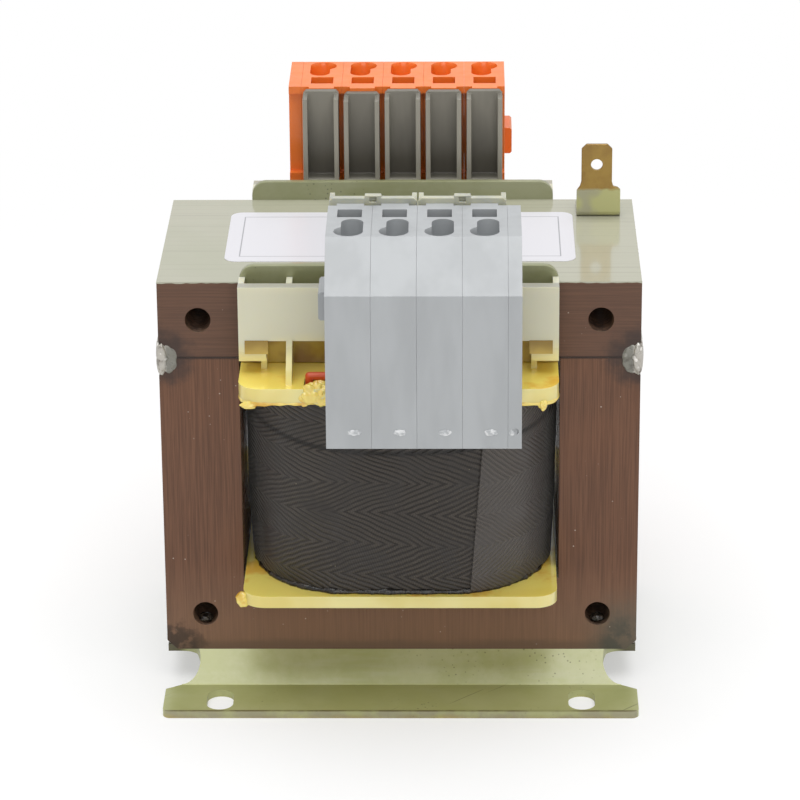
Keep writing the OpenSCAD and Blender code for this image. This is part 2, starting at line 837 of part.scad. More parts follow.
module rear_clamp_springs() {
    color([0.7, 0.7, 0.7]) rear_side() clamp_springs(rear_start, 5);
}

// Lead that rises through its flange slot to the tail of a contact bar
module straight_lead(x) {
    translate([x, -lead_u, coil_top + 0.1]) cylinder(d = lead_d, h = tail_z - coil_top - 0.1, $fn = 32);
}

// Lead that leaves one bay to the side and crosses over to its pole
module crossing_lead(from_x, to_x) {
    translate([from_x, -lead_u, coil_top + 0.1])
        cylinder(d = lead_d, h = lead_level - coil_top - 0.1, $fn = 32);
    translate([from_x, -lead_u, lead_level]) rotate([0, 90, 0])
        cylinder(d = lead_d, h = to_x - from_x, $fn = 32);
    for (x = [from_x, to_x]) translate([x, -lead_u, lead_level]) sphere(d = lead_d, $fn = 32);
    translate([to_x, -lead_u, lead_level]) cylinder(d = lead_d, h = tail_z - lead_level, $fn = 32);
}

module front_leads() {
    color([0.85, 0.3, 0.1]) {
        crossing_lead(loop_x, pole_x(front_start, 0));
        for (k = [1:3]) straight_lead(pole_x(front_start, k));
    }
}

module rear_leads() {
    color([0.85, 0.3, 0.1]) rear_side()
        for (k = [0:4]) straight_lead(pole_x(rear_start, k));
}

e_stack();
bar_stack();
seam_welds();
base_plate();
base_welds();
bobbin();
primary_winding();
winding_foil();
secondary_winding();
tape_wrap();
front_shield_plate();
rear_shield_plate();
earth_tab();
label();
front_pole(0);  // front_pole_1
front_pole(1);  // front_pole_2
front_pole(2);  // front_pole_3
front_pole(3);  // front_pole_4
front_end_plate();
front_holder(0);  // front_holder_1
front_holder(1);  // front_holder_2
rear_pole(0);  // rear_pole_1
rear_pole(1);  // rear_pole_2
rear_pole(2);  // rear_pole_3
rear_pole(3);  // rear_pole_4
rear_pole(4);  // rear_pole_5
rear_end_plate();
rear_channel(0);  // rear_channel_1
rear_channel(1);  // rear_channel_2
rear_channel(2);  // rear_channel_3
rear_channel(3);  // rear_channel_4
rear_channel(4);  // rear_channel_5
front_contact_bars();
rear_contact_bars();
front_clamp_springs();
rear_clamp_springs();
front_leads();
rear_leads();
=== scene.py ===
import math
import random

import bmesh
import bpy
from bpy.props import FloatProperty, FloatVectorProperty, IntProperty, PointerProperty
from mathutils import Matrix, Vector, noise


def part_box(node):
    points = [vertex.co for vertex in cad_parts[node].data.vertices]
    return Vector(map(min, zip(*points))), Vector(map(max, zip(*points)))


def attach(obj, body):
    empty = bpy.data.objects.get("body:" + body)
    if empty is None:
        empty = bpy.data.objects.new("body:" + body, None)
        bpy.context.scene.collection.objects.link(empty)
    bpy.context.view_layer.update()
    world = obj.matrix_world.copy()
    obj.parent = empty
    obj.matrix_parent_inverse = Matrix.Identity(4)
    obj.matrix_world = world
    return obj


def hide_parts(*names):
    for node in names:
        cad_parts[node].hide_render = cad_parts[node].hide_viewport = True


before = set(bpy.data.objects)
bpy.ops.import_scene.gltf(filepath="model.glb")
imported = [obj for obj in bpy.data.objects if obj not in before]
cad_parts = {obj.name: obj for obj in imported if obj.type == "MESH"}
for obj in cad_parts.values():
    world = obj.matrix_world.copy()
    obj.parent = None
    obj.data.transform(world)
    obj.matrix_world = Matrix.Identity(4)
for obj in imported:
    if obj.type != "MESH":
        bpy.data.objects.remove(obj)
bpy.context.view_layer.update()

bl_info = {
    "name": "Laminated Chassis Transformer",
    "version": (1, 0, 0),
    "blender": (4, 5, 0),
    "location": "3D View > Sidebar > Transformer",
    "description": "Dresses the frame of a laminated chassis transformer in its finished pieces",
    "category": "Object",
}

MM = 0.001
NEAR = 0.01 * MM  # tolerance when points are told by their place
CORE_LOW, CORE_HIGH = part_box("e_stack")
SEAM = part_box("bar_stack")[0].z  # where the E sheets meet the bar
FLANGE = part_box("front_shield_plate")[0].z  # top of the bobbin's upper flange
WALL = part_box("rear_pole_1")[0].y  # outer face of the carrier's wall, the same at the front
HOLE_INSET = 8 * MM  # from the sides of the core, and up from the lower edge of each stack
HOLE_REACH = 3 * MM  # a little more than the radius of the through holes

COIL_CORNER = 20 * MM
LAMP_TARGET = Vector((0, 0, 0.05))

# Sags of the tape between its turns: the level in the middle of the front and the rise towards the sides,
# as shares of the coil's height, and the depth, as a share of the fold depth. The first has a painted shadow
# in its seam.
TAPE_SAGS = ((0.725, 0.1, 1.0), (0.43, 0.06, 0.3), (0.2, 0.05, 0.25))

# Lumps at the ends of a weld bead, in mm: inwards from the side of the core, up from the seam, and radii.
WELD_ENDS = ((1.8, -0.3, (1.9, 0.3, 2.9)), (0.6, -0.2, (1.1, 0.6, 3.4)))

# Drops of varnish, in mm: to the right of the middle, inwards from the front edge of the bobbin, up from
# its upper flange, and radii; then how uneven the drop is, as a share of them.
VARNISH_DROPS = (
    ((-16.9, 1.1, -1.5), (2.6, 1.5, 2.1), 0.5),
    ((-15.2, 1.4, -0.3), (1.7, 1.6, 1.3), 0.6),
    ((-18.4, 0.8, -2.3), (1.2, 1.1, 1.5), 0.4),
    ((-14.6, 0.6, -2.6), (1.9, 0.9, 1.2), 0.5),
    ((-31.5, 4.1, -47.0), (1.5, 1.4, 1.6), 0.25),
    ((28.3, 0.4, -3.5), (0.9, 0.7, 1.1), 0.3),
    ((-29.3, 0.6, -3.6), (1.6, 0.7, 0.8), 0.3),
)
BLOCKS = {
    "front": [f"front_pole_{k}" for k in range(1, 5)] + ["front_end_plate"],
    "rear": [f"rear_pole_{k}" for k in range(1, 6)] + ["rear_end_plate"],
}
REAR_CHANNELS = [f"rear_channel_{k}" for k in range(1, 6)]
FRONT_HOLDERS = ["front_holder_1", "front_holder_2"]


def picked(red, green, blue):
    """Linear colour from values of 0 to 255, as a colour picker shows them."""
    shares = [value / 255 for value in (red, green, blue)]
    return [s / 12.92 if s <= 0.04045 else ((s + 0.055) / 1.055) ** 2.4 for s in shares]


def colour_property(name, description, red, green, blue):
    return FloatVectorProperty(
        name=name,
        description=description,
        default=picked(red, green, blue),
        subtype="COLOR",
        size=3,
        min=0,
        max=1,
    )


def length_property(name, description, millimetres):
    return FloatProperty(
        name=name,
        description=description,
        default=millimetres * MM,
        min=0,
        unit="LENGTH",
        precision=5,
    )


# ---- Settings ----


class CoreSettings(bpy.types.PropertyGroup):
    sheet_count: IntProperty(
        name="Sheets", description="Number of laminations in the stack", default=101, min=20, max=140
    )
    sheet_gap: length_property("Sheet gap", "Gap between neighbouring laminations", 0.03)
    sheet_shift: length_property("Sheet shift", "How far a lamination may sit out of line", 0.035)
    film_rise: length_property("Varnish film", "Height of the varnish film over the top of the bar", 0.04)
    ripple_pitch: length_property("Ripple pitch", "Distance between the ripples of a weld", 1.4)
    face_colour: colour_property("Face", "Varnished face of the outer laminations", 112, 78, 58)
    grain_colour: colour_property("Grain", "Darker rolling marks on that face", 90, 61, 45)
    edge_colour: colour_property("Edge", "Sheared and varnished edges of the stack", 172, 171, 152)
    weld_colour: colour_property("Weld", "Metal of the weld beads", 178, 174, 166)


class PlateSettings(bpy.types.PropertyGroup):
    zinc_colour: colour_property("Passivated zinc", "Base plate and shield plates", 184, 186, 144)
    stain_colour: colour_property("Plate stain", "Darker patches in that finish", 166, 169, 118)
    brass_colour: colour_property("Brass", "Bare metal of the earth tab", 156, 126, 60)
    film_colour: colour_property("Label", "Blank label film", 214, 213, 218)


class CoilSettings(bpy.types.PropertyGroup):
    tape_colour: colour_property("Tape", "Ribs of the fabric tape", 66, 60, 54)
    hollow_colour: colour_property("Hollows", "Shade between the ribs", 33, 28, 24)
    rib_pitch: length_property("Rib pitch", "Distance between the ribs of the weave", 1.05)
    band_height: length_property("Band height", "Height of one row of chevrons", 6.6)
    fold_depth: length_property("Fold depth", "How far the tape sags between its turns", 0.35)
    lap_start: length_property("Lap start", "Way from the coil's left corner to the loose end", 24.6)
    lap_lean: length_property("Lap lean", "How far that end leans to the right at the top", 3.3)
    lap_end: length_property("Lap end", "Way from that corner to where it dips under the turns", 52)
    lap_rise: length_property("Lap rise", "How far the loose end stands out", 0.4)
    side_bulge: length_property("Side bulge", "How far the tape bulges between coil and core", 1.1)
    tuck: length_property("Tuck", "How far the sides of the coil draw in at the bottom", 1.0)


class BobbinSettings(bpy.types.PropertyGroup):
    plastic_colour: colour_property("Nylon", "Bare moulding", 208, 206, 182)
    varnish_colour: colour_property("Varnish", "Impregnating varnish on the flanges", 252, 230, 120)
    edge_radius: length_property("Edge radius", "Rounding of the moulded edges", 0.25)
    rim_radius: length_property("Rim radius", "Rounding of the flange rims", 1.1)


class BlockSettings(bpy.types.PropertyGroup):
    grey_colour: colour_property("Grey", "Front poles", 170, 173, 175)
    orange_colour: colour_property("Orange", "Rear poles", 248, 126, 44)
    channel_colour: colour_property("Channels", "Lead channels of the rear poles", 158, 154, 142)
    holder_colour: colour_property("Holders", "Lead holders of the front poles", 170, 172, 162)
    sleeve_colour: colour_property("Sleeves", "Sleeves of the leads", 214, 84, 40)
    edge_radius: length_property("Edge radius", "Rounding of the moulded edges", 0.22)
    seam_closing: length_property("Seam closing", "How far each pole reaches into its seam", 0.08)


class StudioSettings(bpy.types.PropertyGroup):
    camera_place: FloatVectorProperty(
        name="Camera",
        description="Where the camera stands",
        default=(0.0127, -0.7477, 0.3494),
        subtype="TRANSLATION",
        unit="LENGTH",
        size=3,
        precision=4,
    )
    camera_back: FloatVectorProperty(
        name="Back",
        description="Direction from the object to the camera",
        default=(0.01626, -0.92903, 0.36966),
        subtype="DIRECTION",
        size=3,
        precision=5,
    )
    camera_roll: FloatProperty(
        name="Roll",
        description="Turn of the camera about its own axis",
        default=math.radians(-0.418),
        subtype="ANGLE",
    )
    lens: FloatProperty(
        name="Lens", description="Focal length on a 36 mm sensor", default=175.12, min=20, unit="CAMERA"
    )
    sky: FloatProperty(
        name="Sky", description="Strength of the even light from all sides", default=0.46, min=0
    )
    key: FloatProperty(
        name="Key", description="Power of the large lamp above", default=13, min=0, unit="POWER"
    )
    fill: FloatProperty(
        name="Fill", description="Power of the lamp beside the camera", default=3.5, min=0, unit="POWER"
    )


# ---- Materials ----


class Look:
    """A procedural material, made node by node."""

    def __init__(self, name):
        self.material = bpy.data.materials.new(name)
        self.material.use_nodes = True
        self.tree = self.material.node_tree
        self.tree.nodes.clear()
        self.place = self.add("ShaderNodeTexCoord").outputs["Object"]
        axes = self.add("ShaderNodeSeparateXYZ", {0: self.place}).outputs
        self.x, self.y, self.z = axes

    def add(self, kind, inputs=None, **settings):
        made = self.tree.nodes.new(kind)
        for key, value in settings.items():
            setattr(made, key, value)
        for key, value in (inputs or {}).items():
            self.feed(made.inputs[key], value)
        return made

    def feed(self, socket, value):
        if isinstance(value, bpy.types.NodeSocket):
            self.tree.links.new(value, socket)
        elif socket.type == "RGBA":
            socket.default_value = (*value[:3], 1)
        else:
            socket.default_value = value

    def math(self, operation, first, second=0.0):
        return self.add("ShaderNodeMath", {0: first, 1: second}, operation=operation).outputs[0]

    def times(self, first, second):
        return self.math("MULTIPLY", first, second)

    def plus(self, first, second):
        return self.math("ADD", first, second)

    def minus(self, first, second):
        return self.math("SUBTRACT", first, second)

    def unsigned(self, value):
        return self.math("ABSOLUTE", value)

    def distance(self, across, along):
        """Length of the way that goes this far across and this far along."""
        squares = [self.math("POWER", self.unsigned(side), 2) for side in (across, along)]
        return self.math("SQRT", self.plus(*squares))

    def noise(self, scale, detail=3, roughness=0.5, where=None):
        sockets = {"Vector": where or self.place, "Scale": scale, "Detail": detail, "Roughness": roughness}
        return self.add("ShaderNodeTexNoise", sockets).outputs["Fac"]

    def streaks(self, scale, detail=3, roughness=0.6, where=None):
        """Noise drawn out along the axes on which its scale is low."""
        sockets = {"Vector": where or self.place, "Scale": scale}
        return self.noise(1, detail, roughness, self.add("ShaderNodeMapping", sockets).outputs["Vector"])

    def patches(self, scale, low, high, detail=3, roughness=0.5):
        """0 where the noise is below low, 1 where it is above high."""
        return self.between(self.noise(scale, detail, roughness), low, high)

    def specks(self, scale, size):
        """1 in small round specks, 0 elsewhere; size is a share of the distance between them."""
        sockets = {"Vector": self.place, "Scale": scale}
        distance = self.add("ShaderNodeTexVoronoi", sockets).outputs["Distance"]
        return self.fade(distance, size * 0.6, size)

    def between(self, value, low, high, low_out=0.0, high_out=1.0):
        """Smooth step from low_out to high_out while value goes from low to high."""
        sockets = {"Value": value, "From Min": low, "From Max": high, "To Min": low_out, "To Max": high_out}
        return self.add("ShaderNodeMapRange", sockets, interpolation_type="SMOOTHSTEP").outputs[0]

    def fade(self, value, full, gone):
        """1 up to the value full, then down to 0 at the value gone."""
        return self.between(value, gone, full)

    def lying(self):
        """1 on faces that look up, 0 on upright ones."""
        normal = self.add("ShaderNodeNewGeometry").outputs["Normal"]
        return self.between(self.add("ShaderNodeSeparateXYZ", {0: normal}).outputs[2], 0.35, 0.85)

    def mix(self, share, first, second):
        sockets = {0: share, 6: first, 7: second}
        return self.add("ShaderNodeMix", sockets, data_type="RGBA").outputs[2]

    def stain_or_shade(self, shade, where, strength, colour):
        """The shade with that strength of a colour over it, where the mask is 1; it lays real stains as well
        as painted shade and highlights.
        """
        return self.mix(self.times(where, strength), shade, colour)

    def bump(self, height, distance, strength=1.0):
        sockets = {"Height": height, "Distance": distance, "Strength": strength}
        return self.add("ShaderNodeBump", sockets).outputs["Normal"]

    def finish(self, base, roughness, normal=None, **sockets):
        """Closes the material; other shader sockets are named with underscores for spaces."""
        feeds = {"Base Color": base, "Roughness": roughness}
        feeds |= {key.replace("_", " "): value for key, value in sockets.items()}
        if normal:
            feeds["Normal"] = normal
        shader = self.add("ShaderNodeBsdfPrincipled", feeds)
        self.add("ShaderNodeOutputMaterial", {"Surface": shader.outputs[0]})
        return self.material


def sheet_face_look(core):
    """Oxidised and varnished sheet, dusty: its rolling marks run up the E and along the bar."""
    look = Look("varnished_sheet_face")
    on_bar = look.math("GREATER_THAN", look.z, SEAM)
    upright = look.streaks((3400, 3400, 70), 4)
    level = look.streaks((70, 3400, 3400), 4)
    grain = look.add("ShaderNodeMix", {0: on_bar, 2: upright, 3: level}).outputs[0]
    cloud = look.noise(60, 3, 0.6)
    shade = look.mix(look.between(grain, 0.3, 0.7), core.grain_colour, core.face_colour)
    shade = look.mix(look.between(cloud, 0.35, 0.75, 0, 0.3), shade, picked(122, 84, 62))
    shade = look.stain_or_shade(shade, on_bar, 0.45, picked(88, 68, 57))
    shade = add_face_marks(look, shade)
    dust = look.times(look.specks(520, 0.09), look.patches(90, 0.5, 0.66))
    shade = look.stain_or_shade(shade, dust, 0.7, picked(196, 184, 170))
    relief = look.plus(look.times(grain, 0.4), dust)
    rough = look.between(cloud, 0.3, 0.7, 0.42, 0.52)
    return look.finish(shade, rough, look.bump(relief, 0.05 * MM, 0.5), Specular_IOR_Level=0.3)


def add_face_marks(look, shade):
    """Adds the marks of the welds to the face of the core, and a darker band and a lighter tone towards its
    lower edge.
    """
    side = look.unsigned(look.x)
    ragged = look.times(look.noise(350, 3, 0.6), 6 * MM)
    # Burnt varnish round the ends of the seam weld, and the dark line of the seam itself
    above_seam = look.minus(look.z, SEAM)
    from_weld = look.distance(look.minus(side, CORE_HIGH.x - 0.5 * MM), above_seam)
    burnt = look.fade(look.minus(from_weld, ragged), 0.5 * MM, 5 * MM)
    shade = look.stain_or_shade(shade, burnt, 0.75, picked(50, 42, 40))
    joint = look.fade(look.unsigned(above_seam), 0.1 * MM, 0.45 * MM)
    shade = look.stain_or_shade(shade, joint, 0.85, picked(44, 32, 28))
    # A darker, ragged band along the lower edge, and the face lighter towards the bottom, over the yoke
    height = look.minus(look.z, CORE_LOW.z)
    uneven = look.times(look.streaks((60, 60, 260), 4), 3 * MM)
    dark_lower_band = look.fade(look.minus(height, uneven), -0.6 * MM, 1.2 * MM)
    shade = look.stain_or_shade(shade, dark_lower_band, 0.75, picked(52, 40, 33))
    shade = look.stain_or_shade(shade, look.fade(height, MM, 22 * MM), 0.36, picked(150, 120, 96))
    # Soot of the base welds in the lower corners, with heat colours on the right
    from_corner = look.minus(look.distance(look.minus(side, CORE_HIGH.x - MM), height), ragged)
    sooty = look.times(look.fade(from_corner, MM, 6 * MM), look.patches(260, 0.4, 0.55, 4, 0.6))
    shade = look.stain_or_shade(shade, sooty, 0.75, picked(42, 35, 31))
    on_right = look.between(look.x, CORE_HIGH.x - 14 * MM, CORE_HIGH.x - 4 * MM)
    tempered = look.times(look.fade(from_corner, 2 * MM, 13 * MM), on_right)
    return look.stain_or_shade(shade, tempered, 0.6, picked(86, 88, 78))


def sheet_edge_look(core):
    """Sheared edges of the stack under clear varnish."""
    look = Look("varnished_sheet_edge")
    lines = look.streaks((14, 4200, 14))
    smudge = look.noise(55, 4, 0.6)
    shade = look.mix(look.between(lines, 0.25, 0.6), picked(166, 167, 146), core.edge_colour)
    shade = look.mix(look.between(smudge, 0.5, 0.8, 0, 0.4), shade, picked(164, 165, 140))
    return look.finish(
        shade,
        look.between(smudge, 0.3, 0.7, 0.2, 0.3),
        look.bump(lines, 0.03 * MM, 0.5),
        Metallic=0.3,
        Coat_Weight=0.5,
        Coat_Roughness=0.1,
    )


def film_look(core):
    """Clear glossy varnish over the top of the bar, through which the sheets show as faint lines."""
    look = Look("top_varnish")
    lines = look.streaks((9, 1700, 9))
    pool = look.noise(40, 3, 0.5)
    shade = look.mix(look.between(lines, 0.3, 0.5), picked(163, 162, 144), core.edge_colour)
    shade = look.mix(look.between(pool, 0.4, 0.7, 0, 0.5), shade, picked(160, 162, 138))
    return look.finish(
        shade, 0.14, look.bump(lines, 0.01 * MM, 0.4), Coat_Weight=0.4, Coat_Roughness=0.05
    )


def bore_look():
    """Inside of the through holes, dark with oxide and varnish."""
    look = Look("dark_bore")
    shade = look.mix(look.patches(700, 0.4, 0.65), picked(66, 50, 40), picked(120, 96, 76))
    return look.finish(shade, 0.45)


def weld_look(core):
    """Weld metal with heat colours, bright specks painted as glints, and a darker rim where it meets the
    sheets.
    """
    look = Look("weld_metal")
    tint = look.noise(420, 4, 0.6)
    shade = look.mix(look.between(tint, 0.3, 0.46), picked(112, 102, 94), core.weld_colour)
    # Painted highlight: bright specks that stand for glints on the rippled metal
    shade = look.stain_or_shade(shade, look.specks(600, 0.3), 0.8, picked(236, 232, 226))
    rim = look.fade(look.unsigned(look.x), CORE_HIGH.x - 1.8 * MM, CORE_HIGH.x - MM)
    shade = look.stain_or_shade(shade, rim, 0.75, picked(96, 96, 88))
    return look.finish(
        shade, look.between(tint, 0.3, 0.7, 0.42, 0.25), look.bump(tint, 0.15 * MM, 0.7), Metallic=0.5
    )


def zinc_look(plate, name, darker, stain_top=0.0):
    """Yellow-passivated zinc sheet under varnish; darker is 0 for the base plate's tone.

    Varnish has run down and browned below stain_top."""
    look = Look(name)
    cloud = look.noise(70, 5, 0.65)
    shade = look.mix(look.between(cloud, 0.35, 0.68), plate.stain_colour, plate.zinc_colour)
    streak = look.between(look.streaks((25, 240, 240), 4), 0.5, 0.75, 0, 0.4)
    shade = look.mix(streak, shade, picked(190, 191, 164))
    foot = look.fade(look.z, 1.4 * MM, 1.9 * MM)
    shade = look.stain_or_shade(shade, foot, 0.6, picked(176, 180, 112))
    # Pits, and scratches that run aslant over the feet
    pits = look.times(look.specks(900, 0.2), look.patches(45, 0.5, 0.62))
    turn = {"Vector": look.place, "Angle": 0.8}
    turned = look.add("ShaderNodeVectorRotate", turn, rotation_type="Z_AXIS").outputs["Vector"]
    scratch = look.between(look.streaks((1500, 40, 40), 2, 0.5, turned), 0.67, 0.73)
    scratch = look.times(scratch, look.times(look.patches(70, 0.45, 0.6), foot))
    shade = look.stain_or_shade(shade, look.math("MAXIMUM", pits, scratch), 0.6, picked(78, 76, 48))
    shade = look.mix(darker, shade, picked(80, 81, 70))
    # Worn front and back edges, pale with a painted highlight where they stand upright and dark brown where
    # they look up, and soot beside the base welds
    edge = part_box("base_plate")[1]
    depth = look.unsigned(look.y)
    rim = look.between(depth, edge.y - 0.9 * MM, edge.y - 0.4 * MM)
    worn = look.times(rim, look.between(look.noise(160, 4, 0.6), 0.35, 0.6, 0.3, 0.9))
    # Painted highlight: the worn rim is pale on its upright faces
    shade = look.mix(worn, shade, look.mix(look.lying(), picked(152, 147, 120), picked(104, 92, 56)))
    aside = look.plus(look.unsigned(look.x), look.times(cloud, 2 * MM))
    sooty = look.times(
        look.between(aside, edge.x - 3.5 * MM, edge.x - MM),
        look.between(look.z, edge.z - 2.2 * MM, edge.z - 1.4 * MM),
    )
    sooty = look.times(sooty, look.between(depth, 12 * MM, 17 * MM))
    shade = look.stain_or_shade(shade, sooty, 0.85, picked(66, 56, 44))
    level = look.plus(look.z, look.times(cloud, 3 * MM))
    soaked = look.fade(level, stain_top, stain_top + 2.5 * MM)
    gold = look.mix(look.patches(110, 0.4, 0.62), picked(138, 104, 36), picked(184, 158, 64))
    return look.finish(
        look.mix(soaked, shade, gold),
        look.between(cloud, 0.3, 0.7, 0.3, 0.42),
        look.bump(look.noise(900, 2), 0.03 * MM, 0.4),
        Metallic=0.15,
        Coat_Weight=0.35,
        Coat_Roughness=0.2,
    )


def brass_look(plate, varnish_top):
    """Bare brass above varnish_top, olive varnish below it."""
    look = Look("tab_brass")
    level = look.plus(look.z, look.times(look.noise(420, 3), 1.2 * MM))
    bare = look.between(level, varnish_top, varnish_top + 0.8 * MM)
    brass = look.mix(look.patches(240, 0.3, 0.7, 4, 0.6), picked(134, 102, 48), plate.brass_colour)
    coat = look.mix(look.patches(150, 0.4, 0.6, 2), picked(158, 156, 126), picked(176, 175, 118))
    return look.finish(
        look.mix(bare, coat, brass),
        look.between(bare, 0, 1, 0.16, 0.4),
        look.bump(look.streaks((3000, 200, 200), 2, 0.5), 0.02 * MM, 0.4),
        Metallic=look.between(bare, 0, 1, 0.1, 0.6),
        Coat_Weight=0.3,
        Coat_Roughness=0.15,
    )


def nylon_look(bobbin):
    """Cream nylon: bare on the carrier, with a clear yellow pool of varnish on the flanges and painted grey
    shade along the top of the carrier wall.
    """
    look = Look("cream_nylon")
    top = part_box("bobbin")[1].z
    cloud = look.noise(45, 3, 0.5)
    level = look.plus(look.z, look.times(look.minus(cloud, 0.5), 8 * MM))
    soaked = look.fade(level, top - 16 * MM, top - 10 * MM)
    lying = look.lying()
    rim = look.mix(look.between(cloud, 0.4, 0.62), picked(232, 220, 150), picked(222, 204, 118))
    pool = look.mix(look.between(cloud, 0.42, 0.6), picked(248, 222, 106), bobbin.varnish_colour)
    pool = look.stain_or_shade(pool, look.patches(64, 0.54, 0.66, 4, 0.6), 0.7, picked(230, 168, 50))
    shade = look.mix(soaked, bobbin.plastic_colour, look.mix(lying, rim, pool))
    # Painted shade: grey on the top face of the carrier wall
    on_wall = look.between(look.unsigned(look.y), WALL - 3 * MM, WALL - 2 * MM)
    crest = look.times(look.times(lying, on_wall), look.between(look.z, top - 1.4 * MM, top - MM))
    return look.finish(
        look.stain_or_shade(shade, crest, 0.8, picked(150, 149, 140)),
        look.between(soaked, 0, 1, 0.42, 0.14),
        look.bump(cloud, 0.3 * MM, 0.3),
        Subsurface_Weight=0.25,
        Subsurface_Radius=(4 * MM, 3 * MM, 1.5 * MM),
        Subsurface_Scale=1.0,
        Coat_Weight=0.35,
        Coat_Roughness=0.06,
    )


def varnish_look():
    """Set runs of amber varnish."""
    look = Look("set_varnish")
    tone = look.noise(260, 3)
    shade = look.mix(look.between(tone, 0.3, 0.5), picked(216, 168, 56), picked(238, 214, 112))
    return look.finish(
        shade,
        0.1,
        look.bump(tone, 0.25 * MM, 0.5),
        Subsurface_Weight=0.3,
        Subsurface_Radius=(3 * MM, 2 * MM, MM),
        Coat_Weight=0.5,
        Coat_Roughness=0.04,
    )


def web_look():
    """Film of varnish that has set across the ends of the lead windows, brown above and yellow below."""
    look = Look("varnish_web")
    level = look.plus(look.z, look.times(look.noise(200, 3), 3 * MM))
    brown = look.between(level, FLANGE + 5 * MM, FLANGE + 8.5 * MM)
    shade = look.mix(brown, picked(196, 168, 78), picked(146, 118, 42))
    return look.finish(shade, 0.16, Subsurface_Weight=0.2, Subsurface_Radius=(2 * MM, 2 * MM, MM))


def hem_look():
    """Black tape edge, frayed and soaked with varnish."""
    look = Look("tape_hem")
    tone = look.noise(900, 3, 0.7)
    shade = look.mix(look.between(tone, 0.45, 0.65), picked(20, 17, 15), picked(58, 50, 42))
    return look.finish(shade, 0.2, look.bump(tone, 0.2 * MM, 0.8))


def tape_look(coil, name, slope, lift):
    """Woven tape, whose map runs round the coil and up it, in metres.

    Its ribs climb by that slope, to the other side in every second row. lift lightens the loose end."""
    look = Look(name)
    around, up, _ = look.add(
        "ShaderNodeSeparateXYZ", {0: look.add("ShaderNodeUVMap", uv_map="tape_run").outputs[0]}
    ).outputs
    # Herringbone: ribs in rows of chevrons, with fine threads across them
    row = look.math("PINGPONG", look.plus(up, look.times(look.noise(28, 2), 5 * MM)), coil.band_height)
    drift = look.times(look.noise(120, 2), 1.6 * MM)
    run = look.plus(look.times(around, slope), look.plus(row, drift))
    phase = look.times(run, 2 * math.pi / coil.rib_pitch)
    ribs = look.between(look.math("SINE", phase), -1, 0.6)
    cross = look.minus(around, look.times(row, slope))
    threads = look.math("SINE", look.times(cross, 2 * math.pi / (0.5 * MM)))
    worn = look.between(look.noise(130, 3, 0.6), 0.3, 0.65, 0.35, 1)
    cloth = look.times(look.plus(ribs, look.times(threads, 0.12)), worn)
    shade = look.mix(cloth, coil.hollow_colour, coil.tape_colour)
    shade = look.mix(lift, shade, picked(124, 118, 114))
    # Painted shadow in the seam between two turns, sides darker towards the left and right, and pale lint
    low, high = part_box("tape_wrap")
    level, rise, _ = TAPE_SAGS[0]
    side = look.math("DIVIDE", look.x, high.x)
    bow = look.times(look.times(side, side), rise * (high.z - low.z))
    above = look.minus(look.minus(up, level * (high.z - low.z)), bow)
    seam = look.fade(look.unsigned(above), 0.15 * MM, 0.7 * MM)
    shade = look.stain_or_shade(shade, seam, 0.8, picked(20, 17, 15))
    # Darker towards the left and right sides of the coil
    soaked = look.between(look.unsigned(side), 0.72, 0.98)
    shade = look.stain_or_shade(shade, soaked, 0.75, picked(24, 21, 19))
    lint = look.times(look.specks(900, 0.1), look.patches(150, 0.55, 0.65))
    return look.finish(
        look.mix(lint, shade, picked(150, 142, 118)),
        look.between(worn, 0.4, 1, 0.32, 0.5),
        look.bump(cloth, 0.22 * MM, 0.8),
        Specular_IOR_Level=0.35,
        Sheen_Weight=0.08,
        Sheen_Roughness=0.5,
    )


def plastic_look(name, shade_colour, roughness=0.38, coat=0.0):
    """Moulded thermoplastic with a fine matt texture and faint flow marks."""
    look = Look(name)
    flow = look.streaks((120, 120, 30))
    darker = [0.9 * c for c in shade_colour]
    shade = look.mix(look.between(flow, 0.35, 0.65), darker, shade_colour)
    return look.finish(
        shade,
        look.between(look.noise(400, 2), 0.3, 0.7, roughness - 0.05, roughness + 0.05),
        look.bump(look.noise(3500, 2), 0.02 * MM, 0.35),
        Coat_Weight=coat,
        Coat_Roughness=0.2,
    )


def channel_look(blocks):
    """Grey nylon with flow marks, with painted shade deep inside each channel and on its faces that look up.
    """
    look = Look("channel_plastic")
    low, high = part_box(REAR_CHANNELS[0])
    flow = look.streaks((160, 160, 40))
    shade = look.mix(look.between(flow, 0.35, 0.65), picked(146, 142, 131), blocks.channel_colour)
    # Painted shade: darker deep inside each channel, and more so further down
    deep_shade = look.between(look.y, low.y + 0.3 * MM, low.y + 2 * MM)
    level = look.plus(look.z, look.times(flow, 4 * MM))
    shade_fall = look.between(level, high.z + MM, low.z + MM, 0.3, 0.85)
    shade = look.stain_or_shade(shade, deep_shade, shade_fall, picked(58, 53, 45))
    # Painted shade on the faces that look up, such as the channel floors
    shade = look.stain_or_shade(shade, look.lying(), 0.6, picked(96, 94, 84))
    return look.finish(shade, 0.4, look.bump(look.noise(3500, 2), 0.02 * MM, 0.35))


def gate_look(name, shade_colour):
    """Moulding gate mark in the housing's colour, with lighter patches painted as its glint."""
    look = Look(name)
    tone = look.noise(1100, 3)
    glint_colour = [0.4 + 0.6 * c for c in shade_colour]
    # Painted highlight: lighter patches for the gate's glint
    shade = look.mix(look.between(tone, 0.42, 0.58), shade_colour, glint_colour)
    return look.finish(shade, 0.2, look.bump(tone, 0.1 * MM, 0.6), Coat_Weight=0.5, Coat_Roughness=0.1)


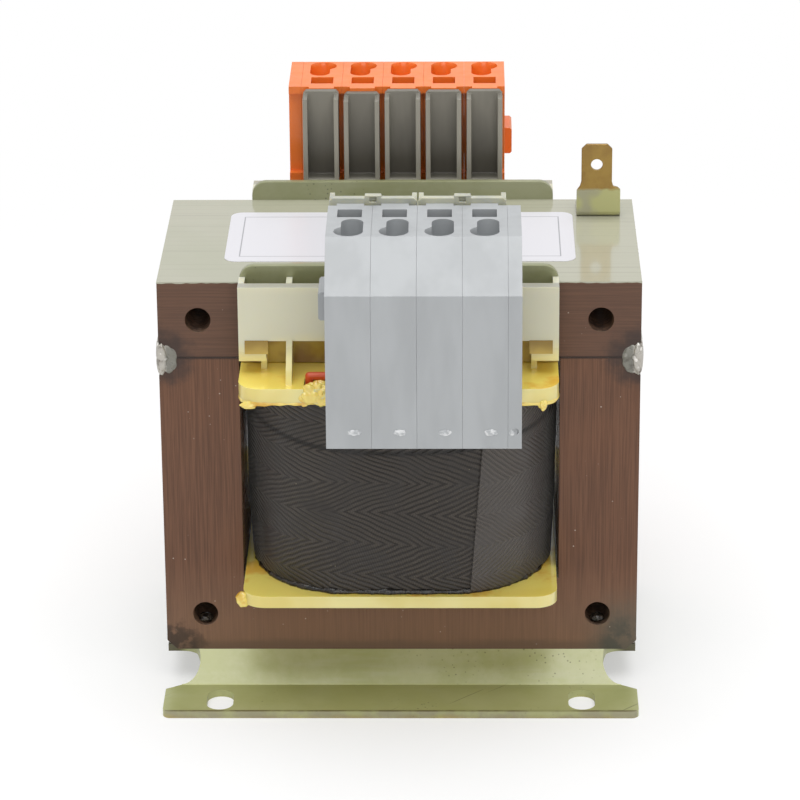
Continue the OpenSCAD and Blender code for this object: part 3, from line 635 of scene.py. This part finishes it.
def holder_look(blocks):
    """Natural cream nylon that lets light through."""
    look = Look("cream_holder")
    tone = look.noise(130, 3)
    shade = look.mix(look.between(tone, 0.35, 0.65), picked(190, 190, 168), blocks.holder_colour)
    return look.finish(
        shade,
        0.36,
        look.bump(tone, 0.1 * MM, 0.4),
        Subsurface_Weight=0.4,
        Subsurface_Radius=(5 * MM, 4 * MM, 2 * MM),
    )


def label_look(plate):
    """Blank label film with a faint ruled frame."""
    look = Look("label_film")
    low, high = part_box("label")
    middle = (low + high) / 2
    inset = 3 * MM
    half_line = 0.12 * MM
    from_frame = [
        look.minus(look.unsigned(look.minus(place, centre)), end - centre - inset)
        for place, centre, end in ((look.x, middle.x, high.x), (look.y, middle.y, high.y))
    ]
    rule = look.math("LESS_THAN", look.unsigned(look.math("MAXIMUM", *from_frame)), half_line)
    shade = look.stain_or_shade(plate.film_colour, rule, 0.6, picked(90, 92, 98))
    return look.finish(shade, look.between(look.noise(60), 0.3, 0.7, 0.3, 0.36))


def metal_look(name, shade_colour, roughness):
    """Plated or bare strip metal with fine drawing lines."""
    look = Look(name)
    lines = look.streaks((2500, 300, 300))
    shade = look.mix(lines, [0.7 * c for c in shade_colour], shade_colour)
    return look.finish(shade, roughness, look.bump(lines, 0.02 * MM, 0.4), Metallic=0.9)


# ---- Mesh helpers ----


def clean(mesh):
    """Merges points that lie together and makes flat faces whole."""
    bmesh.ops.remove_doubles(mesh, verts=mesh.verts, dist=1e-6)
    bmesh.ops.dissolve_limit(mesh, angle_limit=math.radians(0.5), verts=mesh.verts, edges=mesh.edges)


def merged(node):
    """A clean copy of a CAD node's mesh."""
    mesh = bmesh.new()
    mesh.from_mesh(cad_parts[node].data)
    clean(mesh)
    return mesh


def round_edges(mesh, edges, width, segments):
    """Rounds those edges by that width, in that many steps."""
    bmesh.ops.bevel(
        mesh,
        geom=edges,
        offset=width,
        offset_type="OFFSET",
        segments=segments,
        profile=0.5,
        affect="EDGES",
        clamp_overlap=True,
        material=-1,
    )


def soften(mesh, width, segments=2, sharp=35):
    """Rounds the edges that are sharper than that many degrees."""
    edges = [e for e in mesh.edges if e.is_manifold and e.calc_face_angle() > math.radians(sharp)]
    round_edges(mesh, edges, width, segments)
    return mesh


def thicken(mesh, thickness):
    """Turns an open sheet's faces outwards and gives the sheet its thickness."""
    bmesh.ops.recalc_face_normals(mesh, faces=mesh.faces)
    bmesh.ops.solidify(mesh, geom=mesh.faces[:], thickness=thickness)
    return mesh


def place_piece(name, mesh, looks, *nodes, smooth=30, weighted=True):
    """Makes the object from a mesh, which rides on the body and stands for those CAD nodes."""
    bmesh.ops.recalc_face_normals(mesh, faces=mesh.faces)
    data = bpy.data.meshes.new(name)
    mesh.to_mesh(data)
    mesh.free()
    for look in looks:
        data.materials.append(look)
    data.shade_smooth()
    data.set_sharp_from_angle(angle=math.radians(smooth))
    piece = bpy.data.objects.new(name, data)
    bpy.context.scene.collection.objects.link(piece)
    if weighted:
        even = piece.modifiers.new("even_faces", "WEIGHTED_NORMAL")
        even.keep_sharp = True
    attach(piece, "root")
    if nodes:
        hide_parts(*nodes)
    return piece


def finish_node(node, name, look, slot, width, segments=2):
    """Puts a piece in a CAD node's place: its own shape, with edges rounded by that width."""
    mesh = soften(merged(node), width, segments)
    place_piece(name, mesh, [look], node)


def dress(node, look):
    """Gives a CAD node its material as it stands."""
    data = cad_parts[node].data
    data.materials.clear()
    data.materials.append(look)


def shaped_grid(mesh, columns, rows, place):
    """Adds a grid to the mesh and puts each of its points at place(u, v), with u and v from 0 to 1."""
    made = bmesh.ops.create_grid(mesh, x_segments=columns, y_segments=rows, size=0.5)["verts"]
    for point in made:
        point.co = place(point.co.x + 0.5, point.co.y + 0.5)
    bmesh.ops.remove_doubles(mesh, verts=made, dist=1e-7)


def lump(mesh, centre, radii, rough, seed):
    """Adds a closed, uneven blob to the mesh; rough is a share of its radius."""
    for point in bmesh.ops.create_icosphere(mesh, subdivisions=4, radius=1)["verts"]:
        swell = 1 + rough * sway(*(point.co * 1.7 + Vector((seed, 0, 0))))
        point.co = [c + swell * value * radius for c, value, radius in zip(centre, point.co, radii)]


def sway(*place):
    """Smooth noise from -1 to 1, which changes over steps of about 1."""
    return noise.noise(Vector(place))


# ---- Core ----


def sheet_stack(core, name, node, looks):
    """The laminations of one stack, each a thin sheet cut to the outline of the stack's front face."""
    low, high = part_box(node)
    pitch = (high.y - low.y) / core.sheet_count
    outline = merged(node)
    others = [f for f in outline.faces if f.normal.y > -0.9]
    bmesh.ops.delete(outline, geom=others, context="FACES")
    bmesh.ops.solidify(outline, geom=outline.faces[:], thickness=pitch - core.sheet_gap)
    bmesh.ops.recalc_face_normals(outline, faces=outline.faces)
    soften(outline, 0.05 * MM, 1)
    holes = [(side * (high.x - HOLE_INSET), low.z + HOLE_INSET) for side in (-1, 1)]
    for face in outline.faces:
        middle = face.calc_center_median()
        in_hole = any(math.hypot(middle.x - x, middle.z - z) < HOLE_REACH for x, z in holes)
        flat = abs(face.normal.y) > 0.5
        face.material_index = 0 if flat else 2 if in_hole else 1
    front = min(v.co.y for v in outline.verts)
    bmesh.ops.translate(outline, verts=outline.verts, vec=(0, low.y - front, 0))
    sheet = bpy.data.meshes.new(name + "_sheet")
    outline.to_mesh(sheet)
    outline.free()
    rng = random.Random(node)
    stack = bmesh.new()
    for k in range(core.sheet_count):
        first = len(stack.verts)
        stack.from_mesh(sheet)
        stack.verts.ensure_lookup_table()
        shift = [rng.uniform(-core.sheet_shift, core.sheet_shift) for _ in range(2)]
        bmesh.ops.translate(stack, verts=stack.verts[first:], vec=(shift[0], k * pitch, shift[1] * 0.7))
    bpy.data.meshes.remove(sheet)
    return place_piece(name, stack, looks, node, smooth=1, weighted=False)


def top_film(core):
    """Skin of set varnish that levels the top of the bar, with its ragged rim drawn down over the edges."""
    low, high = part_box("bar_stack")
    size = high - low
    mesh = bmesh.new()

    def place(u, v):
        x, y = low.x + u * size.x, low.y + v * size.y
        return (x, y, high.z + core.film_rise * (1 + 0.35 * sway(x * 90, y * 90, 0)))

    shaped_grid(mesh, 96, 50, place)
    border = [e for e in mesh.edges if e.is_boundary]
    drop, overhang = 0.25 * MM, 0.04 * MM
    for point in bmesh.ops.extrude_edge_only(mesh, edges=border)["geom"]:
        if isinstance(point, bmesh.types.BMVert):
            point.co.z = high.z - drop * (1 + sway(point.co.x * 700, point.co.y * 700, 3))
            point.co.x *= 1 + overhang / high.x
            point.co.y *= 1 + overhang / high.y
    return place_piece("top_film", mesh, [film_look(core)])


def hole_drops():
    """A dark drop of varnish in each of the two lower holes, behind the rim."""
    mesh = bmesh.new()
    radii = (1.5 * MM, 1.3 * MM, 0.9 * MM)
    behind_rim, below_middle = 1.6 * MM, 1.5 * MM
    for side in (-1, 1):
        place = (
            side * (CORE_HIGH.x - HOLE_INSET),
            CORE_LOW.y + behind_rim,
            CORE_LOW.z + HOLE_INSET - below_middle,
        )
        lump(mesh, place, radii, 0.15, side)
    return place_piece("hole_drops", mesh, [hem_look()], smooth=80)


class TRANSFORMER_OT_core(bpy.types.Operator):
    """Stack the laminations of the E core and of the bar on top of it"""

    bl_idname = "transformer.core"
    bl_label = "Lamination Stacks"

    def execute(self, context):
        core = context.scene.transformer_core
        looks = [sheet_face_look(core), sheet_edge_look(core), bore_look()]
        for name, node in (("e_laminations", "e_stack"), ("bar_laminations", "bar_stack")):
            sheet_stack(core, name, node, looks)
        top_film(core)
        hole_drops()
        return {"FINISHED"}


def weld_bead(core, mesh, side):
    """One rippled bead that fills the groove at that side of the seam, with a rounded end front and back."""
    low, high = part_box("seam_welds")
    half_height = (high.z - low.z) / 2
    root = 3 * MM
    crest = high.x - CORE_HIGH.x
    turns = (high.y - low.y) / core.ripple_pitch
    end_share = 0.03
    dome = 0.7 * MM

    def place(u, v):
        angle = 2 * math.pi * u
        ripple = 0.5 * math.sin(math.pi * v * turns + 0.8 * math.cos(angle)) ** 2
        end = max(0.0, 1 - min(v, 1 - v) / end_share)
        swell = (1.02 + 0.05 * sway(v * 20, angle, side)) * math.sqrt(1 - 0.8 * end * end)
        if math.cos(angle) > 0:
            x = crest * (0.5 + ripple) * math.cos(angle) * swell
        else:
            x = -root * (1 - abs(math.sin(angle))) * swell
        y = low.y + v * (high.y - low.y) + dome * end * (1 if v > 0.5 else -1)
        return (side * (CORE_HIGH.x + x), y, SEAM + half_height * math.sin(angle) * swell)

    shaped_grid(mesh, 32, 180, place)
    bmesh.ops.holes_fill(mesh, edges=[e for e in mesh.edges if e.is_boundary], sides=0)


class TRANSFORMER_OT_welds(bpy.types.Operator):
    """Lay the weld beads along the seam and at the base plate"""

    bl_idname = "transformer.welds"
    bl_label = "Welds"

    def execute(self, context):
        core = context.scene.transformer_core
        look = weld_look(core)
        mesh = bmesh.new()
        for side in (-1, 1):
            weld_bead(core, mesh, side)
            for y in (CORE_LOW.y, CORE_HIGH.y):
                for inwards, rise, radii in WELD_ENDS:
                    place = (side * (CORE_HIGH.x - inwards * MM), y, SEAM + rise * MM)
                    lump(mesh, place, [r * MM for r in radii], 0.16, side * inwards + y * 90)
        place_piece("seam_beads", mesh, [look], "seam_welds", smooth=60)
        finish_node("base_welds", "base_beads", look, "weld_metal", 0.3 * MM)
        return {"FINISHED"}


# ---- Sheet metal ----


class TRANSFORMER_OT_base_plate(bpy.types.Operator):
    """Finish the folded base plate with broken edges and passivated zinc"""

    bl_idname = "transformer.base_plate"
    bl_label = "Base Plate"

    def execute(self, context):
        look = zinc_look(context.scene.transformer_plates, "passivated_base", 0.0)
        finish_node("base_plate", "folded_base", look, "passivated_steel", 0.25 * MM)
        return {"FINISHED"}


class TRANSFORMER_OT_shields(bpy.types.Operator):
    """Finish the two shield plates between core and bobbin"""

    bl_idname = "transformer.shields"
    bl_label = "Shield Plates"

    def execute(self, context):
        window_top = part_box("bobbin")[1].z - 10 * MM
        look = zinc_look(context.scene.transformer_plates, "varnished_shield", 0.45, window_top)
        for side in ("front", "rear"):
            finish_node(side + "_shield_plate", side + "_shield", look, "varnished_steel", 0.2 * MM)
        return {"FINISHED"}


class TRANSFORMER_OT_earth_tab(bpy.types.Operator):
    """Finish the push-on earth tab, bare above and varnished at its lug"""

    bl_idname = "transformer.earth_tab"
    bl_label = "Earth Tab"

    def execute(self, context):
        varnish_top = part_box("earth_tab")[0].z + 6.2 * MM
        look = brass_look(context.scene.transformer_plates, varnish_top)
        finish_node("earth_tab", "push_on_tab", look, "tab_brass", 0.12 * MM)
        return {"FINISHED"}


class TRANSFORMER_OT_label(bpy.types.Operator):
    """Put the blank label film on the bar stack"""

    bl_idname = "transformer.label"
    bl_label = "Label"

    def execute(self, context):
        look = label_look(context.scene.transformer_plates)
        finish_node("label", "label_sheet", look, "label_film", 0.04 * MM, 1)
        return {"FINISHED"}


# ---- Bobbin and coil ----


def coil_outline(low, high, radius):
    """The way round a box with rounded corners, from the left of its front, and that way's length.

    The way is a function from a share of it to (x, y, outward x, outward y), seen from the middle."""
    half = (high - low) / 2
    corner = math.pi / 2 * radius
    runs = [2 * (half.x - radius), corner, 2 * (half.y - radius), corner] * 2
    length = sum(runs)

    def at(share):
        way = share % 1.0 * length
        x, y = -half.x + radius, -half.y
        heading = 0.0
        for k, run in enumerate(runs):
            step = min(way, run)
            if k % 2 == 0:
                x += step * math.cos(heading)
                y += step * math.sin(heading)
            else:
                centre = (x - radius * math.sin(heading), y + radius * math.cos(heading))
                heading += step / radius
                x = centre[0] + radius * math.sin(heading)
                y = centre[1] - radius * math.cos(heading)
            way -= step
            if way <= 0:
                break
        return x, y, math.sin(heading), -math.cos(heading)

    return at, length


def sag_between_turns(share, middle, v):
    """Depth of the tape's sags at v, as a share of the fold depth: each starts at a lip and slopes out above.

    middle is 0 in the middle of the front and 1 or -1 at the sides."""
    waver = 0.008 * math.sin(8 * math.pi * share)
    lip, slope = 0.004, 0.09
    depth = 0
    for level, rise, deepest in TAPE_SAGS:
        above = v - level - rise * middle * middle - waver
        depth += deepest / (1 + math.exp(-above / lip)) * math.exp(-max(0, above) / slope)
    return depth


def tape_surface(coil, low, high, start, end, proud, lean=0.0):
    """Sheet of wound tape from one share of the way round to another, with a map in metres.

    Its start leans by that share of the way from bottom to top."""
    mesh = bmesh.new()
    at, length = coil_outline(low, high, COIL_CORNER)
    centre = (low + high) / 2
    height = high.z - low.z
    window = CORE_HIGH.y
    layer = mesh.loops.layers.uv.new("tape_run")

    def way(u, v):
        begin = start + lean * v
        return begin + (end - begin) * u

    def shape(u, v):
        share = way(u, v)
        x, y, out_x, out_y = at(share)
        sag = 0.45 * sway(x * 90, y * 90, v * 4) - sag_between_turns(share, x / (high.x - centre.x), v)
        rim = 1 - min(1.0, min(v, 1 - v) / 0.02)
        reach = proud + coil.fold_depth * (sag - 0.3) - 0.35 * MM * rim * rim
        if abs(out_x) > 0.9 and abs(y) < window:
            reach += coil.side_bulge * (1 - (y / window) ** 4)
        reach -= coil.tuck * abs(out_x) * (1 - v) ** 2
        return Vector((centre.x + x + out_x * reach, centre.y + y + out_y * reach, low.z + v * height))

    columns = max(30, int(320 * (end - start)))
    made = bmesh.ops.create_grid(mesh, x_segments=columns, y_segments=90, size=0.5, calc_uvs=True)["verts"]
    for face in mesh.faces:
        for loop in face.loops:
            u, v = loop.vert.co.x + 0.5, loop.vert.co.y + 0.5
            loop[layer].uv = (way(u, v) * length, v * height)
    for point in made:
        point.co = shape(point.co.x + 0.5, point.co.y + 0.5)
    bmesh.ops.remove_doubles(mesh, verts=mesh.verts, dist=1e-7)
    return mesh


def tape_hem(low, high, tuck):
    """Frayed lower edge of the tape, lying in varnish on the flange."""
    mesh = bmesh.new()
    at, _ = coil_outline(low, high, COIL_CORNER)
    centre = (low + high) / 2

    def place(u, v):
        angle = 2 * math.pi * u
        x, y, out_x, out_y = at(v)
        thick = 0.5 * MM * (1 + 0.8 * sway(x * 400, y * 400, 0))
        frayed = thick * (1.1 + 0.5 * sway(x * 1500, y * 1500, 5))
        reach = frayed * math.cos(angle) - 0.3 * MM - tuck * abs(out_x)
        rise = 0.3 * MM + 1.3 * thick * math.sin(angle)
        return Vector((centre.x + x + out_x * reach, centre.y + y + out_y * reach, low.z + rise))

    shaped_grid(mesh, 10, 500, place)
    return mesh


class TRANSFORMER_OT_tape(bpy.types.Operator):
    """Wind the woven tape round the coil, with its loose end at the front"""

    bl_idname = "transformer.tape"
    bl_label = "Coil Tape"

    def execute(self, context):
        coil = context.scene.transformer_coil
        low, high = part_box("tape_wrap")
        # The CAD node's own lap stands out at the front and the right; the turns under it are even.
        low.y = -high.y
        high.x = -low.x
        turns = thicken(tape_surface(coil, low, high, 0.5, 1.5, 0), 0.9 * MM)
        look = tape_look(coil, "woven_tape", 0.42, 0.0)
        place_piece("tape_turns", turns, [look], "tape_wrap", smooth=60)
        length = coil_outline(low, high, COIL_CORNER)[1]
        start, end, lean = (way / length for way in (coil.lap_start, coil.lap_end, coil.lap_lean))
        loose = thicken(tape_surface(coil, low, high, start, end, coil.lap_rise, lean), coil.lap_rise * 1.2)
        look = tape_look(coil, "loose_tape", 0.8, 0.25)
        place_piece("tape_end", loose, [look], smooth=60)
        hem = tape_hem(low, high, coil.tuck)
        place_piece("tape_hem", hem, [hem_look()], smooth=80)
        return {"FINISHED"}


class TRANSFORMER_OT_windings(bpy.types.Operator):
    """Give the windings under the tape their copper and foil"""

    bl_idname = "transformer.windings"
    bl_label = "Windings"

    def execute(self, context):
        copper = metal_look("enamelled_copper", picked(196, 112, 62), 0.3)
        foil = plastic_look("insulating_foil", picked(226, 190, 96), 0.3)
        for node in ("primary_winding", "secondary_winding"):
            dress(node, copper)
        dress("winding_foil", foil)
        return {"FINISHED"}


def flange_runs(low, high, level):
    """Skirt of set varnish that hangs from the lower edge of a flange at that level."""
    mesh = bmesh.new()
    at, _ = coil_outline(low, high, 4.5 * MM)
    hang, thick = 0.55 * MM, 0.35 * MM

    def place(u, v):
        angle = 2 * math.pi * u
        x, y, out_x, out_y = at(v)
        drop = hang * (0.75 + 0.9 * sway(x * 160, y * 160, 2) + 0.5 * sway(x * 600, y * 600, 2))
        reach = thick * math.cos(angle) - 0.25 * MM
        rise = max(0.1 * MM, drop) * math.sin(angle)
        return Vector((x + out_x * reach, y + out_y * reach, level + 0.15 * MM + rise))

    shaped_grid(mesh, 12, 600, place)
    return mesh


def flange_rims(mould):
    """The edges of the bobbin's mesh that run round the outside of its flanges, above and below."""
    low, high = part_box("bobbin")
    tape_low, tape_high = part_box("tape_wrap")
    levels = (low.z, tape_low.z, tape_high.z + 0.1 * MM, FLANGE)
    rims = []
    for edge in mould.edges:
        ends = [v.co for v in edge.verts]
        level = any(all(abs(p.z - z) < NEAR for p in ends) for z in levels)
        outer = all(abs(p.y) > tape_high.y or abs(p.x) > high.x - NEAR for p in ends)
        if level and outer and edge.is_manifold and edge.calc_face_angle() > 1:
            rims.append(edge)
    return rims


class TRANSFORMER_OT_bobbin(bpy.types.Operator):
    """Finish the bobbin with rounded edges and varnished flanges"""

    bl_idname = "transformer.bobbin"
    bl_label = "Bobbin"

    def execute(self, context):
        settings = context.scene.transformer_bobbin
        mould = merged("bobbin")
        round_edges(mould, flange_rims(mould), settings.rim_radius, 4)
        soften(mould, settings.edge_radius, sharp=50)
        piece = place_piece("bobbin_moulding", mould, [nylon_look(settings)], "bobbin", smooth=40)
        return {"FINISHED"}


class TRANSFORMER_OT_varnish(bpy.types.Operator):
    """Add the set runs and drops of varnish on the flanges"""

    bl_idname = "transformer.varnish"
    bl_label = "Varnish Runs"

    def execute(self, context):
        low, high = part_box("bobbin")
        look = varnish_look()
        runs = flange_runs(low, high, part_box("tape_wrap")[1].z)
        place_piece("flange_runs", runs, [look], smooth=80)
        drops = bmesh.new()
        for (x, inwards, rise), radii, rough in VARNISH_DROPS:
            place = (x * MM, low.y + inwards * MM, FLANGE + rise * MM)
            lump(drops, place, [r * MM for r in radii], rough, x)
        place_piece("varnish_drops", drops, [look], smooth=80)
        webs = bmesh.new()
        size = Vector((4.6, 1.6, 2.8)) * MM
        place = Vector((high.x - 3.5 * MM, WALL - 0.7 * MM, FLANGE + 5.7 * MM))
        for side in (-1, 1):
            for face in (-1, 1):
                web = bmesh.ops.create_cube(webs, size=1)["verts"]
                bmesh.ops.scale(webs, verts=web, vec=size)
                bmesh.ops.translate(webs, verts=web, vec=(side * place.x, face * place.y, place.z))
        place_piece("varnish_webs", webs, [web_look()])
        return {"FINISHED"}


# ---- Terminal blocks ----


def close_housing(mould, low, face, joint, shift):
    """Fills the gate dimple in the outer face of a housing and moves its joint with the next one."""
    dimple_depth, dimple_top = 1.2 * MM, low.z + 5 * MM
    for point in mould.verts:
        in_dimple = NEAR < abs(point.co.y - face) < dimple_depth
        if in_dimple and point.co.z < dimple_top and abs(point.co.x - joint) > MM:
            point.co.y = face
        if abs(point.co.x - joint) < 0.1 * NEAR:
            point.co.x += shift
    clean(mould)


class TRANSFORMER_OT_blocks(bpy.types.Operator):
    """Finish the poles and end plates of both terminal blocks"""

    bl_idname = "transformer.blocks"
    bl_label = "Terminal Blocks"

    def execute(self, context):
        settings = context.scene.transformer_blocks
        grey = plastic_look("grey_plastic", settings.grey_colour)
        orange = plastic_look("orange_plastic", settings.orange_colour, 0.34, 0.3)
        for side, look, colour, slot in (
            ("front", grey, settings.grey_colour, "grey_plastic"),
            ("rear", orange, settings.orange_colour, "orange_plastic"),
        ):
            toward = -1 if side == "front" else 1
            marks = bmesh.new()
            for node in BLOCKS[side]:
                low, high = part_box(node)
                face, joint = (low.y, high.x) if side == "front" else (high.y, low.x)
                is_pole = "pole" in node
                mould = merged(node)
                close_housing(mould, low, face, joint, -toward * settings.seam_closing if is_pole else 0)
                soften(mould, settings.edge_radius)
                place_piece(node + "_housing", mould, [look], node)
                from_joint, half_width = (3.15 * MM, 1.25 * MM) if is_pole else (1.9 * MM, 0.55 * MM)
                gate = (joint + toward * from_joint, face, low.z + 3.3 * MM)
                lump(marks, gate, (half_width, 0.25 * MM, 0.62 * MM), 0.25, low.x * 70)
            glint_look = gate_look(side + "_gate_glint", colour)
            place_piece(side + "_gate_marks", marks, [glint_look], smooth=80)
        return {"FINISHED"}


class TRANSFORMER_OT_channels(bpy.types.Operator):
    """Finish the lead channels behind the rear poles and the holders behind the front ones"""

    bl_idname = "transformer.channels"
    bl_label = "Lead Channels"

    def execute(self, context):
        settings = context.scene.transformer_blocks
        for nodes, look, slot in (
            (REAR_CHANNELS, channel_look(settings), "channel_plastic"),
            (FRONT_HOLDERS, holder_look(settings), "cream_holder"),
        ):
            for node in nodes:
                finish_node(node, node + "_moulding", look, slot, 0.15 * MM)
        return {"FINISHED"}


class TRANSFORMER_OT_contacts(bpy.types.Operator):
    """Give the contact bars, clamp springs and leads their finishes"""

    bl_idname = "transformer.contacts"
    bl_label = "Contacts and Leads"

    def execute(self, context):
        settings = context.scene.transformer_blocks
        tin = metal_look("tinned_copper", picked(206, 204, 196), 0.3)
        steel = metal_look("spring_steel", picked(190, 190, 192), 0.25)
        sleeve = plastic_look("lead_sleeve", settings.sleeve_colour)
        for side in ("front", "rear"):
            dress(side + "_contact_bars", tin)
            dress(side + "_clamp_springs", steel)
            dress(side + "_leads", sleeve)
        return {"FINISHED"}


# ---- Studio ----


def studio_floor():
    """Pale floor that shows white to the camera and in gloss, and keeps the shadow of the object."""
    mesh = bmesh.new()
    bmesh.ops.create_grid(mesh, x_segments=1, y_segments=1, size=4)
    look = Look("pale_floor")
    grain = look.between(look.noise(40), 0.3, 0.7, 0.94, 0.95)
    shade = look.add("ShaderNodeCombineColor", {0: grain, 1: grain, 2: grain}).outputs[0]
    data = bpy.data.meshes.new("studio_floor")
    mesh.to_mesh(data)
    mesh.free()
    data.materials.append(look.finish(shade, 0.9))
    seen = look.add("ShaderNodeLightPath").outputs["Is Camera Ray"]
    output = next(n for n in look.tree.nodes if n.type == "OUTPUT_MATERIAL")
    lit = output.inputs["Surface"].links[0].from_socket
    glow = look.add("ShaderNodeEmission", {"Color": (1, 1, 1)}).outputs[0]
    near, far = 0.1, 0.35
    share = look.times(seen, look.between(look.distance(look.x, look.y), near, far, 0.45, 1))
    mixed = look.add("ShaderNodeMixShader", {0: share, 1: lit, 2: glow}).outputs[0]
    look.feed(output.inputs["Surface"], mixed)
    floor = bpy.data.objects.new("studio_floor", data)
    bpy.context.scene.collection.objects.link(floor)


def studio_world(settings):
    """Even light from all sides, white where the camera or a gloss looks past the floor."""
    world = bpy.data.worlds.new("studio")
    world.use_nodes = True
    nodes, links = world.node_tree.nodes, world.node_tree.links
    nodes.clear()
    path = nodes.new("ShaderNodeLightPath")
    seen = path.outputs["Is Camera Ray"]
    for ray in ("Is Glossy Ray", "Is Transmission Ray"):
        either = nodes.new("ShaderNodeMath")
        either.operation = "MAXIMUM"
        links.new(seen, either.inputs[0])
        links.new(path.outputs[ray], either.inputs[1])
        seen = either.outputs[0]
    strength = nodes.new("ShaderNodeMapRange")
    strength.inputs["To Min"].default_value = settings.sky
    strength.inputs["To Max"].default_value = 1
    links.new(seen, strength.inputs["Value"])
    background = nodes.new("ShaderNodeBackground")
    links.new(strength.outputs[0], background.inputs["Strength"])
    output = nodes.new("ShaderNodeOutputWorld")
    links.new(background.outputs[0], output.inputs[0])
    bpy.context.scene.world = world


def studio_lamp(name, power, size, place):
    """Soft rectangular lamp that points at the object."""
    lamp = bpy.data.lights.new(name, "AREA")
    lamp.energy = power
    lamp.shape = "RECTANGLE"
    lamp.size, lamp.size_y = size
    made = bpy.data.objects.new(name, lamp)
    made.location = place
    made.rotation_euler = (LAMP_TARGET - Vector(place)).to_track_quat("-Z", "Y").to_euler()
    bpy.context.scene.collection.objects.link(made)


def studio_camera(settings):
    """Camera at the place and with the direction, roll and lens in the settings."""
    back = Vector(settings.camera_back).normalized()
    right = (-back).cross(Vector((0, 0, 1))).normalized()
    up = right.cross(-back)
    turn, lift = math.cos(settings.camera_roll), math.sin(settings.camera_roll)
    axes = (right * turn + up * lift, up * turn - right * lift, back)
    lens = bpy.data.cameras.new("camera")
    lens.sensor_width = 36
    lens.lens = settings.lens
    camera = bpy.data.objects.new("camera", lens)
    turned = Matrix(axes).transposed().to_4x4()
    camera.matrix_world = Matrix.Translation(settings.camera_place) @ turned
    bpy.context.scene.collection.objects.link(camera)
    bpy.context.scene.camera = camera


class TRANSFORMER_OT_studio(bpy.types.Operator):
    """Set up the floor, the soft light and the camera"""

    bl_idname = "transformer.studio"
    bl_label = "Studio"

    def execute(self, context):
        settings = context.scene.transformer_studio
        studio_floor()
        studio_world(settings)
        studio_lamp("key", settings.key, (1.2, 1.2), (0, -0.1, 1.1))
        studio_lamp("fill", settings.fill, (0.9, 0.7), (0.1, -1.3, 0.5))
        studio_camera(settings)
        context.scene.view_settings.view_transform = "Standard"
        return {"FINISHED"}


# ---- Panel and registration ----

STEPS = (
    TRANSFORMER_OT_core,
    TRANSFORMER_OT_welds,
    TRANSFORMER_OT_base_plate,
    TRANSFORMER_OT_shields,
    TRANSFORMER_OT_earth_tab,
    TRANSFORMER_OT_label,
    TRANSFORMER_OT_windings,
    TRANSFORMER_OT_tape,
    TRANSFORMER_OT_bobbin,
    TRANSFORMER_OT_varnish,
    TRANSFORMER_OT_blocks,
    TRANSFORMER_OT_channels,
    TRANSFORMER_OT_contacts,
    TRANSFORMER_OT_studio,
)
SETTINGS = {
    "transformer_core": CoreSettings,
    "transformer_plates": PlateSettings,
    "transformer_coil": CoilSettings,
    "transformer_bobbin": BobbinSettings,
    "transformer_blocks": BlockSettings,
    "transformer_studio": StudioSettings,
}


class TRANSFORMER_PT_steps(bpy.types.Panel):
    """Steps and settings of the transformer"""

    bl_idname = "TRANSFORMER_PT_steps"
    bl_label = "Transformer"
    bl_space_type = "VIEW_3D"
    bl_region_type = "UI"
    bl_category = "Transformer"

    def draw(self, context):
        for step in STEPS:
            self.layout.operator(step.bl_idname)
        for name, group in SETTINGS.items():
            box = self.layout.box()
            for field in group.__annotations__:
                box.prop(getattr(context.scene, name), field)


def register():
    for group in (*SETTINGS.values(), *STEPS, TRANSFORMER_PT_steps):
        bpy.utils.register_class(group)
    for name, group in SETTINGS.items():
        setattr(bpy.types.Scene, name, PointerProperty(type=group))


def unregister():
    for name in SETTINGS:
        delattr(bpy.types.Scene, name)
    for group in reversed((*SETTINGS.values(), *STEPS, TRANSFORMER_PT_steps)):
        bpy.utils.unregister_class(group)


def main():
    register()
    for step in STEPS:
        area, name = step.bl_idname.split(".")
        getattr(getattr(bpy.ops, area), name)()


if __name__ == "__main__":
    main()
